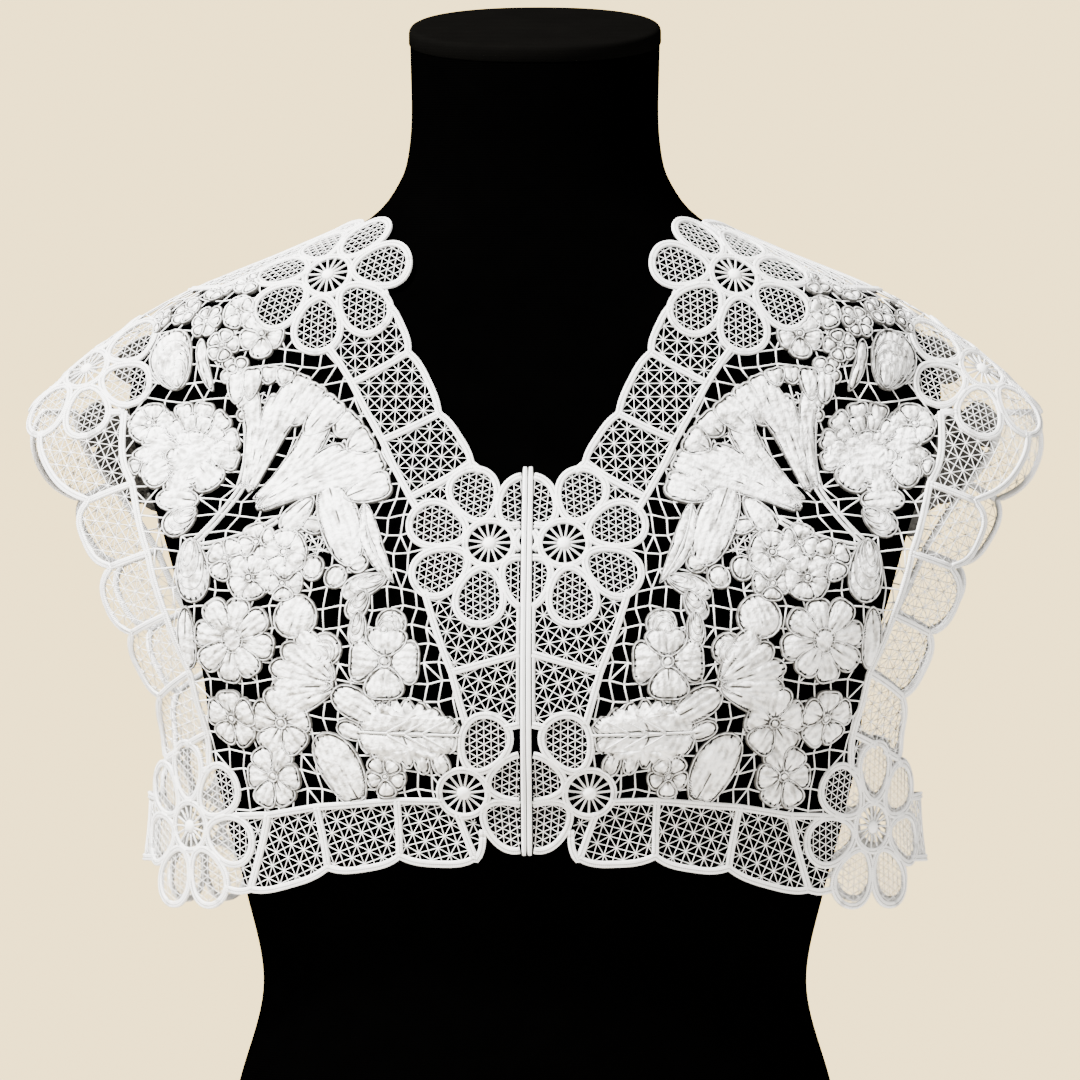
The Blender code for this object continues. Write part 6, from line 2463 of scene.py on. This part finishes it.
@dataclass
class SatinCords:
    """The two satin cords that meet at the centre front."""

    shop: Workshop
    points: int = 90
    taper: float = 0.25           # how much narrower the ends are
    taper_reach: float = 1.2      # over how many points
    pieces: dict = field(default_factory=dict)

    def build(self) -> None:
        """Sweep one cord down the front and mirror it."""
        cloth = self.shop.cloth
        heights = np.linspace(EDGE_CORD_FOOT, EDGE_CORD_TOP, self.points)
        angle = cloth.front_angle(np.full(self.points, EDGE_CORD_ACROSS), heights)
        normal = cloth.normal(angle, heights)
        centre = cloth.point(angle, heights) + normal * EDGE_CORD_LIFT
        centre[:, 0] = EDGE_CORD_ACROSS
        steps = np.arange(self.points)
        size = 1 - self.taper * np.exp(-np.minimum(steps, steps[::-1]) / self.taper_reach)
        stitching = Stitching(self.shop)
        stitching.runs[Work.SATIN] = [Run(centre, normal, size)]
        half = stitching.skin()
        cord = SATIN.make()
        self.pieces = {"edge_cord_L": half.thing("satin_cord_L", [cord]),
                       "edge_cord_R": half.mirrored().thing("satin_cord_R", [cord])}

    def dress(self) -> None:
        """Hand the cords to the frame."""
        for node, made in self.pieces.items():
            hand_over(made, node)


# --- form and studio ---
@dataclass
class DressForm:
    """Smooth torso with a flat base, and the leaning cap on its neck."""

    body: Body
    columns: int = 144
    step: float = 4.0
    shoulder: float = 575.0       # height of the last level ring
    sharp: float = math.radians(40)
    lean: float = math.radians(NECK_TILT)
    pieces: dict = field(default_factory=dict)

    def _ring(self, height: float) -> np.ndarray:
        """One level ring."""
        angle = np.arange(self.columns) * math.tau / self.columns
        level = np.full(self.columns, float(height))
        return round_body(self.body.radius(angle, level), angle, level)

    def _slope(self, ring: np.ndarray) -> np.ndarray:
        """A ring moved up or down to the sloping cut of the neck."""
        return beside(ring[:, 0], ring[:, 1], NECK_TOP + math.tan(self.lean) * ring[:, 1])

    def _skin(self, rings: list, name: str, finish: bpy.types.Material) -> bpy.types.Object:
        """Closed skin through rings.

        Args:
            rings: The rings, from the bottom up.
            name: The object's name.
            finish: Its finish.

        Returns:
            The object.
        """
        count = self.columns
        here = np.arange(count)
        last = (len(rings) - 1) * count
        corners = np.concatenate((walls(len(rings), count), here[::-1], here + last))
        points = np.concatenate(rings)
        wide = float(np.linalg.norm(points[:, :2], axis=1).mean())
        round_it = np.abs(np.tile(here / count, len(rings)) - 0.5) * math.tau * wide
        skin = Skin()
        skin.add(points * MM, corners, [4] * last + [count, count], 0,
                 (points[:, 2] * MM, round_it * MM, np.zeros(len(points))))
        made = skin.thing(name, [finish])
        for face in made.data.polygons[-2:]:
            face.use_smooth = False
        made.data.set_sharp_from_angle(angle=self.sharp)
        return made

    def build(self) -> None:
        """Build the torso and the cap."""
        rings = [self._ring(height) for height in np.arange(0.0, self.shoulder, self.step)]
        shoulder = self._ring(self.shoulder)
        top = self._slope(self._ring(NECK_TOP))
        rings += [shoulder] + [shoulder * (1 - share) + top * share for share in (0.35, 0.7, 1.0)]
        torso = self._skin(rings, "form_body", JERSEY.make())
        lift = np.array((0.0, -math.sin(self.lean), math.cos(self.lean)))
        reach = np.linalg.norm(top[:, :2], axis=1, keepdims=True)
        cap = [self._slope(top * (CAP_OVERHANG - inset / reach)) + lift * rise for rise, inset in CAP_RINGS]
        cover = self._skin(cap, "form_cap", CAP.make())
        self.pieces = {"form_torso": (torso, "form_cloth"), "form_neck_cap": (cover, "neck_cap")}

    def dress(self) -> None:
        """Hand the form to the frame."""
        for node, (made, slot) in self.pieces.items():
            hand_over(made, node)


@dataclass
class Studio:
    """Pale floor, soft light and the camera."""

    azimuth: float = math.radians(1.9)
    elevation: float = math.radians(0.5)
    distance: float = 8.0
    aim: tuple = (0.0023, 0.0, 0.3716)
    field_of_view: float = math.radians(3.561)
    sensor: float = 36.0
    floor_radius: float = 0.62
    floor_depth: float = 0.02
    floor_sides: int = 96
    backdrop: tuple = (3.5, 2.65, 1.26, 1.0)
    daylight: tuple = (0.42, 0.405, 0.38, 1.0)
    lights: tuple = (  # name, place, size, power, colour
        ("key", (-1.2, -1.0, 2.1), 0.4, 450.0, (1.0, 0.99, 0.975)),
        ("fill", (1.8, -1.9, 0.5), 1.0, 75.0, (1.0, 0.99, 0.97)),
        ("rim", (0.4, 1.7, 1.7), 1.4, 60.0, (1.0, 0.99, 0.97)),
    )

    def _light(self, name: str, place: tuple, size: float, power: float, colour: tuple) -> None:
        """Add one soft square light aimed at the object.

        Args:
            name: Its name.
            place: Where it stands.
            size: Its width.
            power: In watts.
            colour: Its colour.
        """
        lamp = bpy.data.lights.new(name, "AREA")
        lamp.size = size
        lamp.energy = power
        lamp.color = colour
        made = show(name, lamp)
        made.location = place
        aim = np.array(self.aim) - np.array(place)
        yaw = math.atan2(aim[0], -aim[1])
        pitch = math.atan2(-aim[2], math.hypot(aim[0], aim[1]))
        made.rotation_euler = (math.pi / 2 - pitch, 0.0, math.pi + yaw)

    def _camera(self) -> None:
        """Add the camera."""
        lens = bpy.data.cameras.new("camera")
        lens.sensor_width = self.sensor
        lens.lens = self.sensor / 2 / math.tan(self.field_of_view / 2)
        camera = show("camera", lens)
        level = math.cos(self.elevation)
        away = (math.sin(self.azimuth) * level, -math.cos(self.azimuth) * level, math.sin(self.elevation))
        camera.location = np.array(self.aim) + np.array(away) * self.distance
        camera.rotation_euler = (math.pi / 2 - self.elevation, 0.0, self.azimuth)
        bpy.context.scene.camera = camera

    def _backdrop(self) -> None:
        """Show one colour to the camera, and light the object with another."""
        world = bpy.data.worlds.new("backdrop")
        world.use_nodes = True
        graph = Graph(world.node_tree)
        seen = graph.out("ShaderNodeLightPath", output="Is Camera Ray")
        shown = graph.out("ShaderNodeBackground", {"Color": self.backdrop})
        soft = graph.out("ShaderNodeBackground", {"Color": self.daylight})
        mixed = graph.out("ShaderNodeMixShader", {0: seen, 1: soft, 2: shown})
        graph.feed(world.node_tree.nodes["World Output"], {"Surface": mixed})
        bpy.context.scene.world = world

    def _floor(self) -> None:
        """Add a round floor under the form."""
        mesh = bpy.data.meshes.new("floor")
        count = self.floor_sides
        rim = [(self.floor_radius * math.cos(turn), self.floor_radius * math.sin(turn))
               for turn in np.linspace(0, math.tau, count, endpoint=False)]
        points = [(x, y, z) for z in (0.0, -self.floor_depth) for x, y in rim]
        faces = [tuple(range(count)), tuple(range(2 * count - 1, count - 1, -1))]
        faces += [(k + count, (k + 1) % count + count, (k + 1) % count, k) for k in range(count)]
        mesh.from_pydata(points, [], faces)
        mesh.materials.append(FloorFinish().make())
        floor = show("floor", mesh)

    def build(self) -> None:
        """Set the camera, the lights, the backdrop's colour and the floor."""
        self._camera()
        for light in self.lights:
            self._light(*light)
        self._backdrop()
        self._floor()


JERSEY = JerseyFinish()
CAP = JerseyFinish(name="form_cap_satin", light=(0.0016, 0.00152, 0.00136, 1.0),
                   dark=(0.00096, 0.0009, 0.0008, 1.0), stitch=0.0007, roughness=0.8)
# satin cord: painted shade between its stitches, and no painted shade in a groove
SATIN = CordFinish(name="satin_cord", light=(0.9, 0.895, 0.885, 1.0), dark=(0.45, 0.44, 0.42, 1.0),
                   stitch=0.001, slant=2.2, groove=0.0)


def main() -> None:
    """Build every class in order and report each piece."""
    logging.basicConfig(level=logging.INFO, format="%(message)s")
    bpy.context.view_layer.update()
    form = DressForm(Body(FORM_SECTIONS, FORM_ROUNDNESS))
    form.build()
    form.dress()
    cloth = Cloth(form.body, Body(DRAPE_SECTIONS, DRAPE_ROUNDNESS))
    lace = [ThreadFinish().make(), CordFinish().make(), PetalFinish().make()]
    shop = Workshop(cloth, StrandTree(), KnotTree(), lace)
    cords = SatinCords(shop)
    cords.build()
    cords.dress()
    layout = Layout(cloth)
    front, back = layout.fields()
    back_flowers = tuple(row for row in FLOWERS if row[2] >= BACK_LEAST_RADIUS) + BACK_FLOWERS
    back_leaves = tuple(row for row in LEAVES if row[4] >= BACK_LEAST_WIDTH) + BACK_LEAVES
    pieces = [Daisy(shop, layout, name) for name in layout.daisies]
    in_one = ("neck_border_back", "hem_border_back")
    pieces += [NetBorder(shop, layout, name, name in in_one) for name in layout.bands]
    pieces += [SideNet(shop, layout, "side_net"),
               FloralField(shop, layout, "front_panel", outline=front, flowers=FLOWERS, leaves=LEAVES),
               FloralField(shop, layout, "back_panel", True, outline=back, flowers=back_flowers,
                           leaves=back_leaves)]
    sewn_on = {"front_panel_L": [cords.pieces["edge_cord_L"]], "front_panel_R": [cords.pieces["edge_cord_R"]]}
    for piece in pieces:
        piece.build()
        piece.dress(sewn_on)
    Studio().build()


if __name__ == "__main__":
    main()
